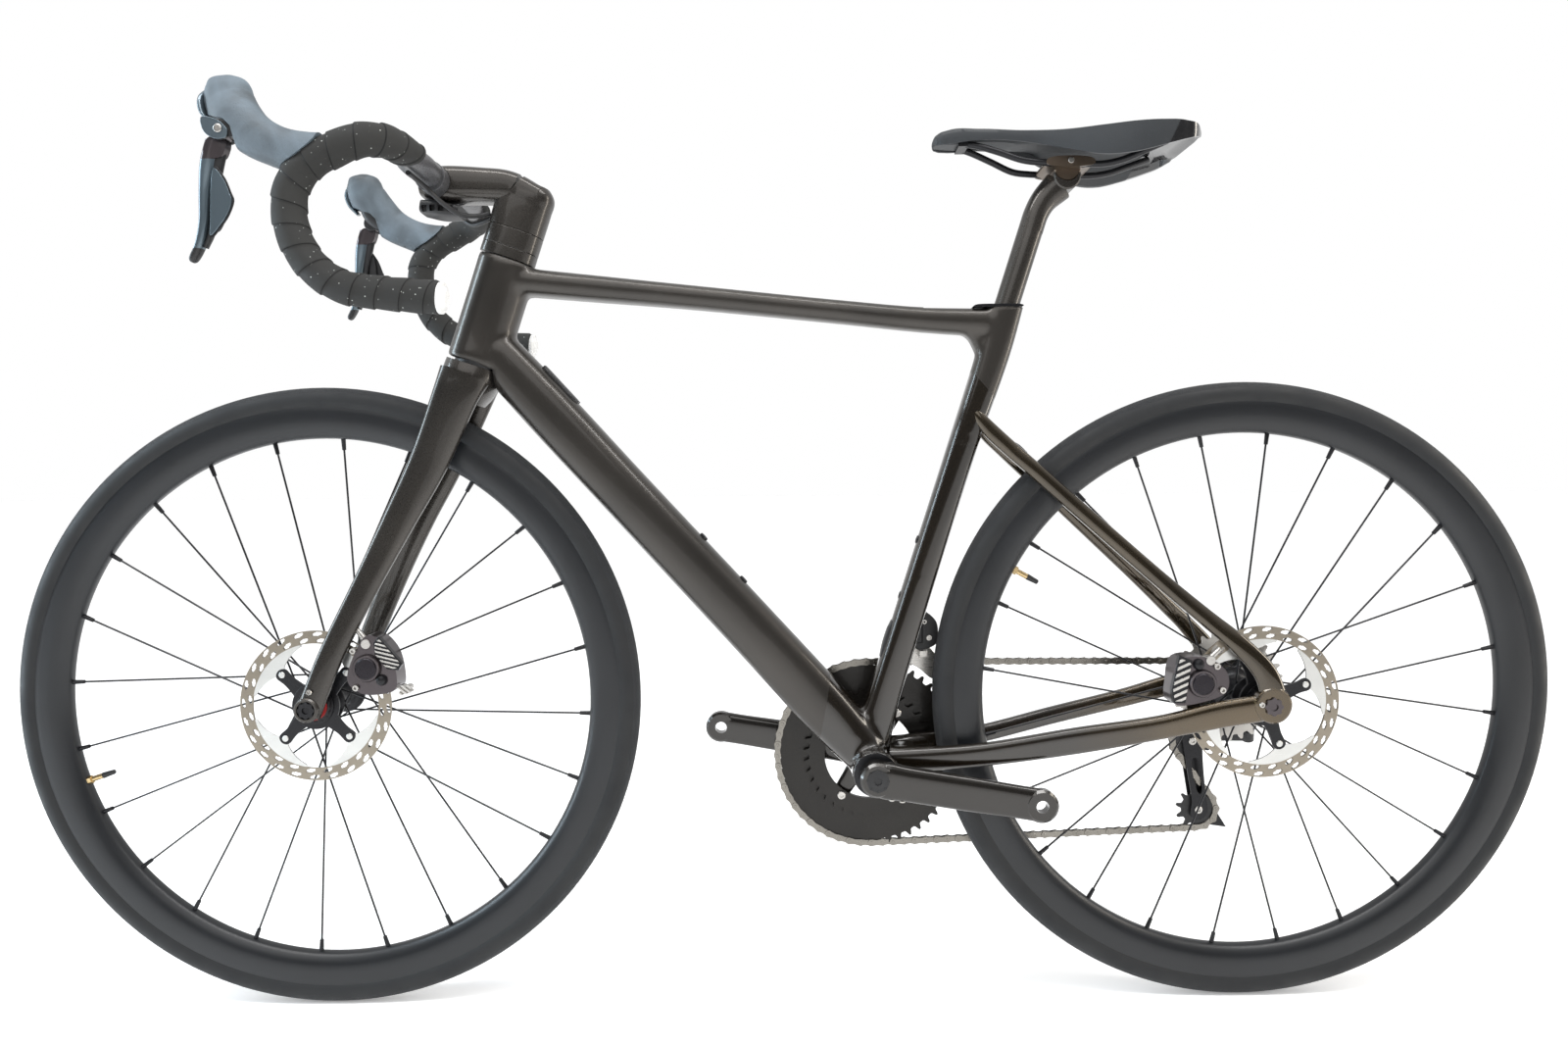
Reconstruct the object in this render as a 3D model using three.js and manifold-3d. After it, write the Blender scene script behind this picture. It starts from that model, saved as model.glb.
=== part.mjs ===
// Road bicycle with disc brakes, drop bars and electronic gears.
// Millimetres, +X forward, +Y left, +Z up. The origin is on the ground, midway between the axles.
import * as THREE from 'three';
import { mergeVertices } from 'three/addons/utils/BufferGeometryUtils.js';
import Module from 'manifold-3d';

const wasm = await Module();
wasm.setup();

// ---------------------------------------------------------------- driving dimensions
const GAP = 0.3; // space left between pieces that touch
const WHEELBASE = 999;
const TYRE_RADIUS = 339;
const TYRE_HALF_WIDTH = 14;
const RIM_OUTER = 318;
const RIM_INNER = 284;
const RIM_HALF_WIDTH = 13;
const WHEEL_SEGMENTS = 36;
const SPOKES = 24;
const SPOKE_LEAD = 78; // degrees round the hub from a spoke's hole to its nipple
const ROTOR_RADIUS = 80;
const ROTOR_THICKNESS = 1.8;
const FRONT_ROTOR_Y = 39.5;
const REAR_ROTOR_Y = 55.7;
const FRONT_HUB_HALF = 50;
const REAR_HUB_HALF = 71;
const AXLE_RADIUS = 6;

const HEAD_ANGLE = THREE.MathUtils.degToRad(71.5);
const RAKE = 45;
const HEAD_BOTTOM = 397; // heights along the steering axis, from level with the front axle
const HEAD_TOP = 514;
const COVER_TOP = 526;
const STEM_BOTTOM = 546;
const STEERER_RADIUS = 14.3;
const HEAD_BORE_RADIUS = 17;
const CROWN_RADIUS = 30; // the back of the fork crown turns inside the frame

const BRACKET = new THREE.Vector3(-94.4, 0, 260.8); // bottom bracket centre
const CRANK_LENGTH = 172.5;
const CRANK_TILT = THREE.MathUtils.degToRad(8.96); // the left arm points back and down by this
const SPINDLE_RADIUS = 12;
const BIG_RING_PITCH = (52 * 12.7) / (2 * Math.PI);
const SMALL_RING_PITCH = (36 * 12.7) / (2 * Math.PI);
const SMALL_COG_PITCH = (11 * 12.7) / (2 * Math.PI);
const BIG_COG_PITCH = (30 * 12.7) / (2 * Math.PI);
const BIG_RING_Y = -46.5;
const SMALL_RING_Y = -40.2;
const SMALL_COG_Y = -62.6;
const BIG_COG_Y = -28.8;
const CHAIN_HALF_HEIGHT = 4.2;
const CHAIN_HALF_WIDTH = 2.8;
const GUIDE_PULLEY = new THREE.Vector3(-472, SMALL_COG_Y, 268);
const TENSION_PULLEY = new THREE.Vector3(-480, SMALL_COG_Y, 187);

const POST_RADIUS = 13.2;
const POST_BOTTOM = new THREE.Vector3(-194, 0, 612);
const POST_TOP = new THREE.Vector3(-271, 0, 855);
const POST_DROP = 40; // how far the seatpost can still be lowered
const HOOD_Y = 172; // the levers' distance from the middle plane
const DROP_Y = 174;
const BAR_RADIUS = 11.9;
const TAPE_RADIUS = 15.5;
const LEVER_PIVOT = new THREE.Vector3(508, 0, 894);
const CHEEK_HALF = 9.5; // half the width of the cheeks that carry a lever's pivot

const REAR_AXLE = new THREE.Vector3(-WHEELBASE / 2, 0, TYRE_RADIUS);
const FRONT_AXLE = new THREE.Vector3(WHEELBASE / 2, 0, TYRE_RADIUS);
const AXIS_Y = new THREE.Vector3(0, 1, 0);

// ---------------------------------------------------------------- materials
const finish = (color, roughness, metalness) => new THREE.MeshStandardMaterial({ color, roughness, metalness });
const SATIN_PAINT = finish(0x4a443c, 0.45, 0.5);
const GLOSS_PAINT = finish(0x1d1a18, 0.15, 0.3);
const RUBBER = finish(0x1c1d1f, 0.8, 0);
const HOOD_RUBBER = finish(0x6c7880, 0.7, 0);
const CARBON = finish(0x26272a, 0.45, 0.1);
const BLACK_METAL = finish(0x17181a, 0.35, 0.8);
const DARK_ALLOY = finish(0x3b3c3e, 0.3, 0.9);
const STEEL = finish(0xa9a59c, 0.3, 1);
const ROTOR_STEEL = finish(0x9a8b72, 0.35, 1);
const TAPE = finish(0x35353a, 0.85, 0);
const BLACK_PLASTIC = finish(0x141416, 0.5, 0);
const LEVER_PAINT = finish(0x8a97a1, 0.3, 0.6);
const WHITE_PLASTIC = finish(0xe6e6e4, 0.35, 0);
const SADDLE_COVER = finish(0x3a4044, 0.6, 0);

// ---------------------------------------------------------------- solids
const vec = (x, y, z) => new THREE.Vector3(x, y, z);
const flipY = (side) => (p) => vec(p.x, side * p.y, p.z);

/** A closed solid from a three.js geometry: shared corners merged, faces turned outwards. */
function solid(geometry) {
  const bare = new THREE.BufferGeometry();
  bare.setAttribute('position', geometry.getAttribute('position').clone());
  if (geometry.index) bare.setIndex(geometry.index.clone());
  const merged = mergeVertices(bare, 1e-3);
  const place = merged.getAttribute('position').array;
  const corners = [];
  let volume = 0;
  const at = (i) => vec(place[3 * i], place[3 * i + 1], place[3 * i + 2]);
  for (let i = 0; i < merged.index.count; i += 3) {
    const [a, b, c] = [0, 1, 2].map((k) => merged.index.getX(i + k));
    if (a === b || b === c || c === a) continue;
    corners.push(a, b, c);
    volume += at(a).dot(at(b).cross(at(c)));
  }
  if (volume < 0) corners.reverse();
  return new wasm.Manifold(new wasm.Mesh({
    numProp: 3,
    vertProperties: new Float32Array(place),
    triVerts: new Uint32Array(corners),
  }));
}

const join = (first, ...others) => others.reduce((sum, shape) => sum.add(shape), first);
const cut = (first, ...tools) => tools.reduce((rest, tool) => rest.subtract(tool), first);

/** A skin over rings that have the same number of points, capped at both ends or closed in a loop. */
function skin(rings, { loop = false } = {}) {
  const count = rings[0].length;
  const points = rings.flat();
  const index = [];
  const last = loop ? rings.length : rings.length - 1;
  for (let r = 0; r < last; r++) {
    const here = r * count;
    const next = ((r + 1) % rings.length) * count;
    for (let k = 0; k < count; k++) {
      const m = (k + 1) % count;
      index.push(here + k, here + m, next + k, here + m, next + m, next + k);
    }
  }
  if (!loop) {
    for (const start of [0, (rings.length - 1) * count]) {
      const middle = points.length;
      const ring = points.slice(start, start + count);
      points.push(ring.reduce((sum, p) => sum.add(p), vec(0, 0, 0)).divideScalar(count));
      for (let k = 0; k < count; k++) {
        const pair = [start + k, start + ((k + 1) % count)];
        if (start === 0) pair.reverse();
        index.push(middle, ...pair);
      }
    }
  }
  const geometry = new THREE.BufferGeometry().setFromPoints(points);
  geometry.setIndex(index);
  return solid(geometry);
}

/** Points of a rounded-rectangle-like section; power 2 is an ellipse, and larger is squarer. */
function section(centre, wideAxis, deepAxis, halfWide, halfDeep, power, sides) {
  const bulge = (t) => Math.sign(t) * Math.abs(t) ** (2 / power);
  return Array.from({ length: sides }, (_, k) => {
    const turn = (2 * Math.PI * (k + 0.5)) / sides;
    return centre.clone()
      .addScaledVector(wideAxis, halfWide * bulge(Math.cos(turn)))
      .addScaledVector(deepAxis, halfDeep * bulge(Math.sin(turn)));
  });
}

/** A tube whose section changes: stations are [point, half width across, half depth]. */
function tube(stations, { power = 2.4, sides = 8, across = AXIS_Y } = {}) {
  const rings = stations.map(([point, halfWide, halfDeep], i) => {
    const before = stations[Math.max(i - 1, 0)][0];
    const after = stations[Math.min(i + 1, stations.length - 1)][0];
    const along = after.clone().sub(before).normalize();
    const wide = across.clone().addScaledVector(along, -across.dot(along)).normalize();
    const deep = along.clone().cross(wide);
    return section(point, wide, deep, halfWide, halfDeep, power, sides);
  });
  return skin(rings);
}

/** A round tube of one radius along a smooth curve through points. */
function roundTube(points, radius, steps, sides = 8) {
  const circle = new THREE.Shape();
  circle.absarc(0, 0, radius, 0, 2 * Math.PI, false);
  const path = new THREE.CatmullRomCurve3(points, false, 'centripetal');
  const options = { steps, extrudePath: path, curveSegments: sides / 2, bevelEnabled: false };
  return solid(new THREE.ExtrudeGeometry(circle, options));
}

/** Stations along a line, each with two directions across it that turn as little as possible. */
function framed(points) {
  const wide = vec(0, 0, 1);
  return points.map((point, i) => {
    const before = points[Math.max(i - 1, 0)];
    const after = points[Math.min(i + 1, points.length - 1)];
    const along = after.clone().sub(before).normalize();
    wide.addScaledVector(along, -along.dot(wide)).normalize();
    return { point, wide: wide.clone(), deep: along.cross(wide) };
  });
}

/** A round pipe over such stations, so that pipes of different radii nest exactly. */
function pipe(stations, radius, sides = 8) {
  return skin(stations.map(({ point, wide, deep }) => section(point, wide, deep, radius, radius, 2, sides)));
}

/** A straight rod, cone or disc between two points. */
function rod(from, to, radius, sides = 16, endRadius = radius) {
  const along = to.clone().sub(from);
  const geometry = new THREE.CylinderGeometry(endRadius, radius, along.length(), sides);
  geometry.applyQuaternion(new THREE.Quaternion().setFromUnitVectors(AXIS_Y, along.clone().normalize()));
  const middle = from.clone().add(to).divideScalar(2);
  geometry.translate(middle.x, middle.y, middle.z);
  return solid(geometry);
}

/** A rod across the bicycle, centred on x, z. */
const crossRod = (x, z, y0, y1, radius, sides = 16) => rod(vec(x, y0, z), vec(x, y1, z), radius, sides);

/** A block between two corners. */
function block(x0, x1, y0, y1, z0, z1) {
  const geometry = new THREE.BoxGeometry(x1 - x0, y1 - y0, z1 - z0);
  geometry.translate((x0 + x1) / 2, (y0 + y1) / 2, (z0 + z1) / 2);
  return solid(geometry);
}

/** A plate across the bicycle: an outline of [x, z] points from y0 to y1. */
function plate(outline, y0, y1) {
  const shape = new THREE.Shape(outline.map(([x, z]) => new THREE.Vector2(x, z)));
  const geometry = new THREE.ExtrudeGeometry(shape, { depth: y1 - y0, bevelEnabled: false });
  geometry.rotateX(Math.PI / 2);
  geometry.translate(0, y1, 0);
  return solid(geometry);
}

/** A solid of revolution about the Y axis; a profile that stays off the axis is closed on itself. */
function turned(profile, segments = 16) {
  const points = profile.map(([r, y]) => new THREE.Vector2(r, y));
  if (profile[0][0] > 0) points.push(points[0].clone());
  return solid(new THREE.LatheGeometry(points, segments));
}

/** A point given in steering terms: ahead of the steering axis, up along it, and to the left. */
function steered(ahead, up, left = 0) {
  const forward = vec(Math.sin(HEAD_ANGLE), 0, Math.cos(HEAD_ANGLE));
  const upward = vec(-Math.cos(HEAD_ANGLE), 0, Math.sin(HEAD_ANGLE));
  return FRONT_AXLE.clone()
    .addScaledVector(forward, ahead - RAKE)
    .addScaledVector(upward, up)
    .addScaledVector(AXIS_Y, left);
}

const steeredRod = (up0, up1, radius, sides = 12) => rod(steered(0, up0), steered(0, up1), radius, sides);

const bicycle = new THREE.Group();

/** Adds one named sub-part. */
function add(name, shape, material, parent = bicycle) {
  const mesh = shape.getMesh();
  const geometry = new THREE.BufferGeometry();
  geometry.setAttribute('position', new THREE.BufferAttribute(new Float32Array(mesh.vertProperties), 3));
  geometry.setIndex(new THREE.BufferAttribute(new Uint32Array(mesh.triVerts), 1));
  const part = new THREE.Mesh(geometry, material);
  part.name = name;
  parent.add(part);
}

// ---------------------------------------------------------------- frame
const SEAT_TUBE = [
  [vec(-88, 0, 268), 20, 21],
  [vec(-110, 0, 345), 17, 18],
  [vec(-152, 0, 480), 16, 16.5],
  [vec(-194, 0, 612), 16, 16],
  [vec(-228, 0, 715), 16.5, 18],
  [vec(-242, 0, 770), 17, 19],
];

function postBore() {
  const down = POST_BOTTOM.clone().sub(POST_TOP).normalize();
  return rod(POST_BOTTOM.clone().addScaledVector(down, POST_DROP + 4), POST_TOP.clone(), POST_RADIUS + 0.75);
}

function frontTriangle() {
  const head = tube([
    [steered(3, HEAD_BOTTOM), 28, 31],
    [steered(3, HEAD_BOTTOM + 30), 25, 31],
    [steered(3, HEAD_TOP - 30), 24, 31],
    [steered(3, HEAD_TOP), 25, 31],
  ], { power: 2.5, sides: 12 });
  const top = tube([
    [vec(306, 0, 792), 22, 15],
    [vec(212, 0, 783), 20, 14],
    [vec(106, 0, 773), 17.5, 12.8],
    [vec(-64, 0, 755.5), 16, 12.6],
    [vec(-150, 0, 747), 15.5, 13.5],
    [vec(-236, 0, 743), 15.5, 16],
  ], { power: 3 });
  const down = tube([
    [vec(312, 0, 714), 24, 26],
    [vec(250, 0, 646), 24, 28],
    [vec(180, 0, 569), 24, 28],
    [vec(44, 0, 420), 24, 29],
    [vec(-51, 0, 315), 27, 29],
    [vec(-90, 0, 272), 30, 25],
  ], { power: 3 });
  const seat = tube(SEAT_TUBE, { power: 3 });
  const shell = crossRod(BRACKET.x, BRACKET.z, -43, 43, 25);
  const corner = plate([[-208, 700], [-225, 700], [-225, 736], [-160, 736], [-184, 732], [-199, 722]], -13, 13);
  const body = join(head, top, down, seat, shell, corner);
  return cut(
    body,
    steeredRod(HEAD_BOTTOM - 90, HEAD_BOTTOM, CROWN_RADIUS + 1.5, 24),
    steeredRod(HEAD_BOTTOM - 1, HEAD_TOP + 1, HEAD_BORE_RADIUS, 12),
    block(-300, -150, -40, 40, 758.5, 810),
    postBore(),
    crossRod(BRACKET.x, BRACKET.z, -50, 50, 20.8),
    block(-228, -205, -8, 8, 728, 770),
  );
}

function seatstays() {
  const stay = (side) => tube([
    [vec(-217, 0, 634), 10, 10],
    [vec(-236, 11, 614), 8, 8.8],
    [vec(-264, 20, 587), 6.2, 8.5],
    [vec(-300, 24.5, 554), 6, 8.5],
    [vec(-345, 32, 513), 6, 8.5],
    [vec(-400, 43, 463), 6, 8.5],
    [vec(-440, 57, 427), 6, 9],
    [vec(-468, 68, 402), 6, 10],
    [vec(-507, 74, 364), 6, 11],
  ].map(([p, wide, deep]) => [flipY(side)(p), wide, deep]), { sides: 8 });
  const bridge = tube([[vec(-247, 0, 600), 22, 3], [vec(-259, 0, 590), 22, 3]], { power: 6, sides: 8 });
  const clearSeatTube = tube(SEAT_TUBE.map(([p, w, d]) => [p, w + GAP, d + GAP]), { power: 3 });
  return cut(join(stay(1), stay(-1), bridge), clearSeatTube, dropoutDiscs(GAP));
}

/** The discs of the rear dropouts, grown by a gap. */
function dropoutDiscs(gap) {
  const disc = (side) => crossRod(REAR_AXLE.x - 1, REAR_AXLE.z + 1, side * (68 - gap), side * (80 + gap), 19 + gap);
  return join(disc(1), disc(-1));
}

function chainstays() {
  const left = tube([
    [vec(-120, 24, 273), 12, 13],
    [vec(-150, 28, 274), 9, 13],
    [vec(-211, 32, 279), 7.5, 12.5],
    [vec(-307, 47, 297), 7.5, 14],
    [vec(-394, 59, 314), 7, 12.5],
    [vec(-449, 67, 328), 6, 14],
    [vec(-499, 74, 338), 6, 14],
  ], { power: 3, sides: 8 });
  const right = tube([
    [vec(-120, -24, 273), 12, 12],
    [vec(-150, -27, 277), 8, 11],
    [vec(-211, -30, 284), 6.5, 10],
    [vec(-307, -46, 303), 6.5, 10],
    [vec(-394, -59, 320), 6.5, 10.5],
    [vec(-449, -67, 332), 6, 12],
    [vec(-499, -74, 338), 6, 13],
  ], { power: 3, sides: 8 });
  const yoke = block(-138, -116, -30, 30, 262, 284);
  const shellSpace = crossRod(BRACKET.x, BRACKET.z, -60, 60, 25.2 + GAP);
  const clearSeatTube = tube(SEAT_TUBE.map(([p, w, d]) => [p, w + GAP, d + GAP]), { power: 3 });
  const wheelSpace = crossRod(REAR_AXLE.x, REAR_AXLE.z, -20, 20, TYRE_RADIUS + 6, 24);
  const body = join(left, right, yoke, dropoutDiscs(0));
  return cut(
    body,
    shellSpace,
    clearSeatTube,
    wheelSpace,
    block(-540, -470, -REAR_HUB_HALF, REAR_HUB_HALF, 310, 390).intersect(dropoutDiscs(3)),
    crossRod(REAR_AXLE.x, REAR_AXLE.z, -66.6, -20, SMALL_COG_PITCH + CHAIN_HALF_HEIGHT + 5),
    crossRod(REAR_AXLE.x, REAR_AXLE.z, 20, REAR_ROTOR_Y + 2.5, ROTOR_RADIUS + 3, 32),
    crossRod(REAR_AXLE.x, REAR_AXLE.z, -90, 90, AXLE_RADIUS + 0.5),
    crossRod(HANGER.x, HANGER.z, -78, -74, 9.5),
  );
}

const HANGER = vec(-500, 0, 316); // the derailleur hanger's fixing to the right dropout

/** A hanger plate let into the dropout, ending in the derailleur's bolt hole. */
function hanger() {
  const blade = plate([[-507, 312], [-493, 312], [-493, 303], [-495, 296], [-505, 296], [-508, 303]], -77.7, -74.3);
  return join(crossRod(HANGER.x, HANGER.z, -77.7, -74.3, 9.1), blade);
}

function seatpostClamp() {
  const cap = plate([[-255, 758.8], [-203, 758.8], [-206, 761.8], [-255, 761.8]], -14, 14);
  const wedge = block(-223, -206, -7.5, 7.5, 734, 760);
  return cut(join(cap, wedge), postBore());
}

function bottomBracket() {
  return turned([[12.6, -45.8], [20.4, -45.8], [20.4, 45.8], [12.6, 45.8]]);
}

// ---------------------------------------------------------------- fork and steering
function fork() {
  const blade = (side) => tube([
    [steered(5, HEAD_BOTTOM - 16, 22 * side), 13, 27],
    [steered(6, HEAD_BOTTOM - 34, 27 * side), 9.5, 24.5],
    [vec(379, 27 * side, 596), 8.5, 20.5],
    [vec(410, 31 * side, 535), 8, 17],
    [vec(444, 41 * side, 465), 7.5, 14],
    [vec(478, 52 * side, 392), 7, 13],
    [vec(FRONT_AXLE.x + 1, 57 * side, 333), 6.7, 13],
  ], { power: 2.6 });
  const crown = tube([
    [steered(4, HEAD_BOTTOM - 42), 24, 22],
    [steered(4, HEAD_BOTTOM - 30), 32, 27],
    [steered(4, HEAD_BOTTOM - 14), 31, 30],
    [steered(4, HEAD_BOTTOM - 2.2), 28, 30],
  ], { power: 2.5, sides: 12 });
  const steerer = cut(
    steeredRod(HEAD_BOTTOM - 20, STEM_BOTTOM + 38, STEERER_RADIUS),
    steeredRod(HEAD_TOP, STEM_BOTTOM + 40, STEERER_RADIUS - 3, 8),
  );
  const wheelSpace = crossRod(FRONT_AXLE.x, FRONT_AXLE.z, -18.5, 18.5, TYRE_RADIUS + 6, 24);
  const ends = (side) => crossRod(FRONT_AXLE.x, FRONT_AXLE.z, side * FRONT_HUB_HALF, side * 65, 13);
  const behind = [steered(8, HEAD_BOTTOM - 32), steered(8, HEAD_BOTTOM + 2), steered(-60, HEAD_BOTTOM + 2),
    steered(-60, HEAD_BOTTOM - 32)].map((p) => [p.x, p.z]);
  const turningSpace = cut(plate(behind, -60, 60), steeredRod(HEAD_BOTTOM - 60, HEAD_BOTTOM + 10, CROWN_RADIUS));
  const hubSpace = block(440, 560, -FRONT_HUB_HALF, FRONT_HUB_HALF, 315, 375);
  const body = cut(join(blade(1), blade(-1), crown), wheelSpace, hubSpace, turningSpace);
  return cut(
    join(body, steerer, ends(1), ends(-1)),
    crossRod(FRONT_AXLE.x, FRONT_AXLE.z, -80, 80, AXLE_RADIUS + 0.5),
    crossRod(FRONT_AXLE.x, FRONT_AXLE.z, 61, 80, 9.5),
    turned([[0, FRONT_ROTOR_Y - 2.5], [ROTOR_RADIUS + 2, FRONT_ROTOR_Y - 2.5],
      [ROTOR_RADIUS + 2, FRONT_ROTOR_Y + 2.5], [0, FRONT_ROTOR_Y + 2.5]], 32).translate(FRONT_AXLE.toArray()),
  );
}

/** A thru-axle whose head on the left has a hexagonal socket. */
function axle(centre, halfLength, headFrom, headTo, headRadius) {
  const shaft = crossRod(centre.x, centre.z, -halfLength, headTo, AXLE_RADIUS);
  const head = crossRod(centre.x, centre.z, headFrom, headTo, headRadius);
  const socket = crossRod(centre.x, centre.z, headTo - 6, headTo + 3, 3, 6);
  return cut(join(shaft, head), socket);
}

/** A flat-mount caliper: an outline across the rotor, with a slot for the disc. */
function caliper(outline, axleAt, rotorY, piston) {
  const body = plate(outline, rotorY - 15.5, rotorY + 14);
  const cap = crossRod(piston[0], piston[1], rotorY + 10, rotorY + 17, 10.5);
  const slot = crossRod(axleAt.x, axleAt.z, rotorY - 2, rotorY + 2, ROTOR_RADIUS + 3, 32);
  return cut(join(body, cap), slot);
}

function stem() {
  const column = tube([
    [steered(5, STEM_BOTTOM + 0.2), 20, 29.5],
    [steered(5, STEM_BOTTOM + 34), 20, 29.5],
    [steered(4, STEM_BOTTOM + 46), 19, 28],
    [steered(5, STEM_BOTTOM + 52), 16, 22],
  ], { power: 2.8, sides: 10 });
  const arm = tube([
    [vec(262, 0, 876), 19, 14],
    [vec(292, 0, 889), 20, 17],
    [vec(322, 0, 892), 20, 18],
    [vec(366, 0, 893), 21, 18.5],
    [vec(386, 0, 893), 20, 14],
  ], { power: 3.4, sides: 10 });
  return cut(
    join(column, arm),
    crossRod(368, 893, -40, 40, 16.4),
    steeredRod(STEM_BOTTOM - 5, STEM_BOTTOM + 39, STEERER_RADIUS + 0.6),
    plate([[276, 898], [288, 884], [420, 884], [420, 930], [276, 930]], -40, 40),
  );
}

function stemCover() {
  const arm = tube([
    [vec(262, 0, 876), 19, 14],
    [vec(292, 0, 889), 20, 17],
    [vec(322, 0, 892), 20, 18],
    [vec(366, 0, 893), 21, 18.5],
    [vec(386, 0, 893), 20, 14],
  ], { power: 3.4, sides: 10 });
  return cut(
    arm.intersect(plate([[283, 891.5], [288.5, 884.3], [420, 884.3], [420, 930], [276, 930]], -40, 40)),
    crossRod(368, 893, -40, 40, 16.4),
    steeredRod(STEM_BOTTOM - 5, STEM_BOTTOM + 50, STEERER_RADIUS + 0.6),
  );
}

/** The handlebar's centre line from the stem out to the end of the drop, on the left. */
const BAR_LINE = new THREE.CatmullRomCurve3([
  vec(368, 0, 893), vec(368, 60, 893), vec(367, 122, 894), vec(373, 149, 893), vec(389, 166, 888), vec(410, 171, 878),
  vec(432, HOOD_Y, 866), vec(448, HOOD_Y, 845), vec(451, HOOD_Y, 818), vec(443, 173, 791), vec(427, DROP_Y, 769),
  vec(403, DROP_Y, 754), vec(374, DROP_Y, 749), vec(345, DROP_Y, 746), vec(316, DROP_Y, 743.5),
]).getPoints(20);
const TAPE_START = 3; // the station where the tape begins
const barStations = (side) => framed(BAR_LINE.map(flipY(side)));

function handlebar() {
  const clampZone = crossRod(368, 893, -38, 38, 15.9);
  const bore = (side) => rod(vec(338, side * DROP_Y, 745.4), vec(310, side * DROP_Y, 743), 9.5);
  const halves = join(pipe(barStations(1), BAR_RADIUS), pipe(barStations(-1), BAR_RADIUS));
  return cut(join(halves, clampZone), bore(1), bore(-1));
}

function barTape(side) {
  const stations = barStations(side);
  const end = stations.at(-1);
  const beyond = { ...end, point: end.point.clone().add(vec(-10, 0, -0.9)) };
  const bore = pipe([...stations.slice(TAPE_START - 1), beyond], BAR_RADIUS + 0.4);
  return cut(pipe(stations.slice(TAPE_START), TAPE_RADIUS), bore);
}

function barPlug(side) {
  const at = (x) => vec(x, side * DROP_Y, 745.4 - (338 - x) * 0.086);
  return join(rod(at(335), at(315), 8.9, 12), rod(at(315.4), at(312), 14.5, 12), rod(at(312.2), at(309), 14.5, 12, 11));
}

/** The lever bracket leans inwards towards its top; grow makes room for it in the hood. */
function bracketCore(side, grow) {
  const core = tube([
    [vec(461 - grow, 169 * side, 873 - grow / 2), 9 + grow, 11 + grow],
    [vec(484, 166 * side, 890), 9 + grow, 13 + grow],
    [vec(502, 162 * side, 906), 9 + grow, 15 + grow],
    [vec(511, 158 * side, 926 + grow), 8 + grow, 10 + grow],
  ], { power: 3 });
  const reach = CHEEK_HALF + grow;
  const cheeks = crossRod(LEVER_PIVOT.x, LEVER_PIVOT.z, HOOD_Y * side - reach, HOOD_Y * side + reach, 8 + grow);
  const back = block(484 - grow, 508, HOOD_Y * side - reach, HOOD_Y * side + reach, 886 - grow, 902 + grow);
  return join(core, cheeks, back);
}

const leverBracket = (side) => cut(bracketCore(side, 0), leverSpace(side));

/** The slot in the bracket that the lever's root swings in. */
function leverSpace(side) {
  return join(
    crossRod(LEVER_PIVOT.x, LEVER_PIVOT.z, (HOOD_Y - 5.5) * side, (HOOD_Y + 5.5) * side, 10),
    block(498, 540, HOOD_Y * side - 5.5, HOOD_Y * side + 5.5, 860, LEVER_PIVOT.z),
  );
}

function hood(side) {
  const grip = tube([
    [vec(409, HOOD_Y * side, 875), 16, 18],
    [vec(432, HOOD_Y * side, 873), 16.5, 20],
    [vec(460, 170 * side, 881), 15.5, 18],
    [vec(483, 168 * side, 893), 17, 20],
    [vec(500, 164 * side, 910), 19, 22],
    [vec(510, 157 * side, 927), 15, 22],
    [vec(511, 155 * side, 941), 13.5, 19],
    [vec(511, 154.5 * side, 949), 8, 12],
  ], { sides: 10 });
  const tapeSide = [[416, 900], [421, 884], [437, 871], [466, 851], [440, 835], [385, 835], [385, 910]];
  const leverSide = [[499, 860], [560, 860], [560, 910], [523, 910], [514, 906], [504, 903], [497, 896], [496, 884]];
  return cut(
    grip,
    pipe(barStations(side).slice(TAPE_START), TAPE_RADIUS + 0.4),
    bracketCore(side, 0.4),
    plate(tapeSide, HOOD_Y * side - 30, HOOD_Y * side + 30),
    plate(leverSide, HOOD_Y * side - 40, HOOD_Y * side + 30),
  );
}

function brakeLever(side) {
  const blade = tube([
    [vec(519, HOOD_Y * side, 884), 4.6, 6],
    [vec(523, HOOD_Y * side, 866), 5, 7],
    [vec(526, HOOD_Y * side, 840), 6.5, 5],
    [vec(528, HOOD_Y * side, 812), 6.5, 4],
    [vec(533, HOOD_Y * side, 792), 6, 3.6],
    [vec(540, HOOD_Y * side, 779), 4.5, 3],
  ], { power: 2.6, sides: 8 });
  const root = crossRod(LEVER_PIVOT.x, LEVER_PIVOT.z, HOOD_Y * side - 4.8, HOOD_Y * side + 4.8, 8.2, 16);
  const arm = block(506, 524, HOOD_Y * side - 4.6, HOOD_Y * side + 4.6, 872, 890);
  return join(blade, root, arm);
}

/** A shift button is a thin plate behind the lever blade. */
function shiftPaddle(side) {
  const outline = [[517, 858], [508, 852], [502, 838], [500, 832], [505, 820], [510, 811], [520, 800], [520, 806]];
  return plate(outline, side > 0 ? HOOD_Y + 4.6 : -HOOD_Y - 6.6, side > 0 ? HOOD_Y + 6.6 : -HOOD_Y - 4.6);
}

function shiftButton(side) {
  const outline = [[517.5, 856], [511, 853], [509, 830], [512, 812], [519, 804], [519, 830]];
  return plate(outline, side > 0 ? HOOD_Y + 0.4 : -HOOD_Y - 2.4, side > 0 ? HOOD_Y + 2.4 : -HOOD_Y - 0.4);
}

function junctionBox() {
  return tube([[vec(386, 0, 869), 17, 7], [vec(366, 0, 866), 20, 8], [vec(346, 0, 864), 15, 6]], { power: 4, sides: 8 });
}

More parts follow.
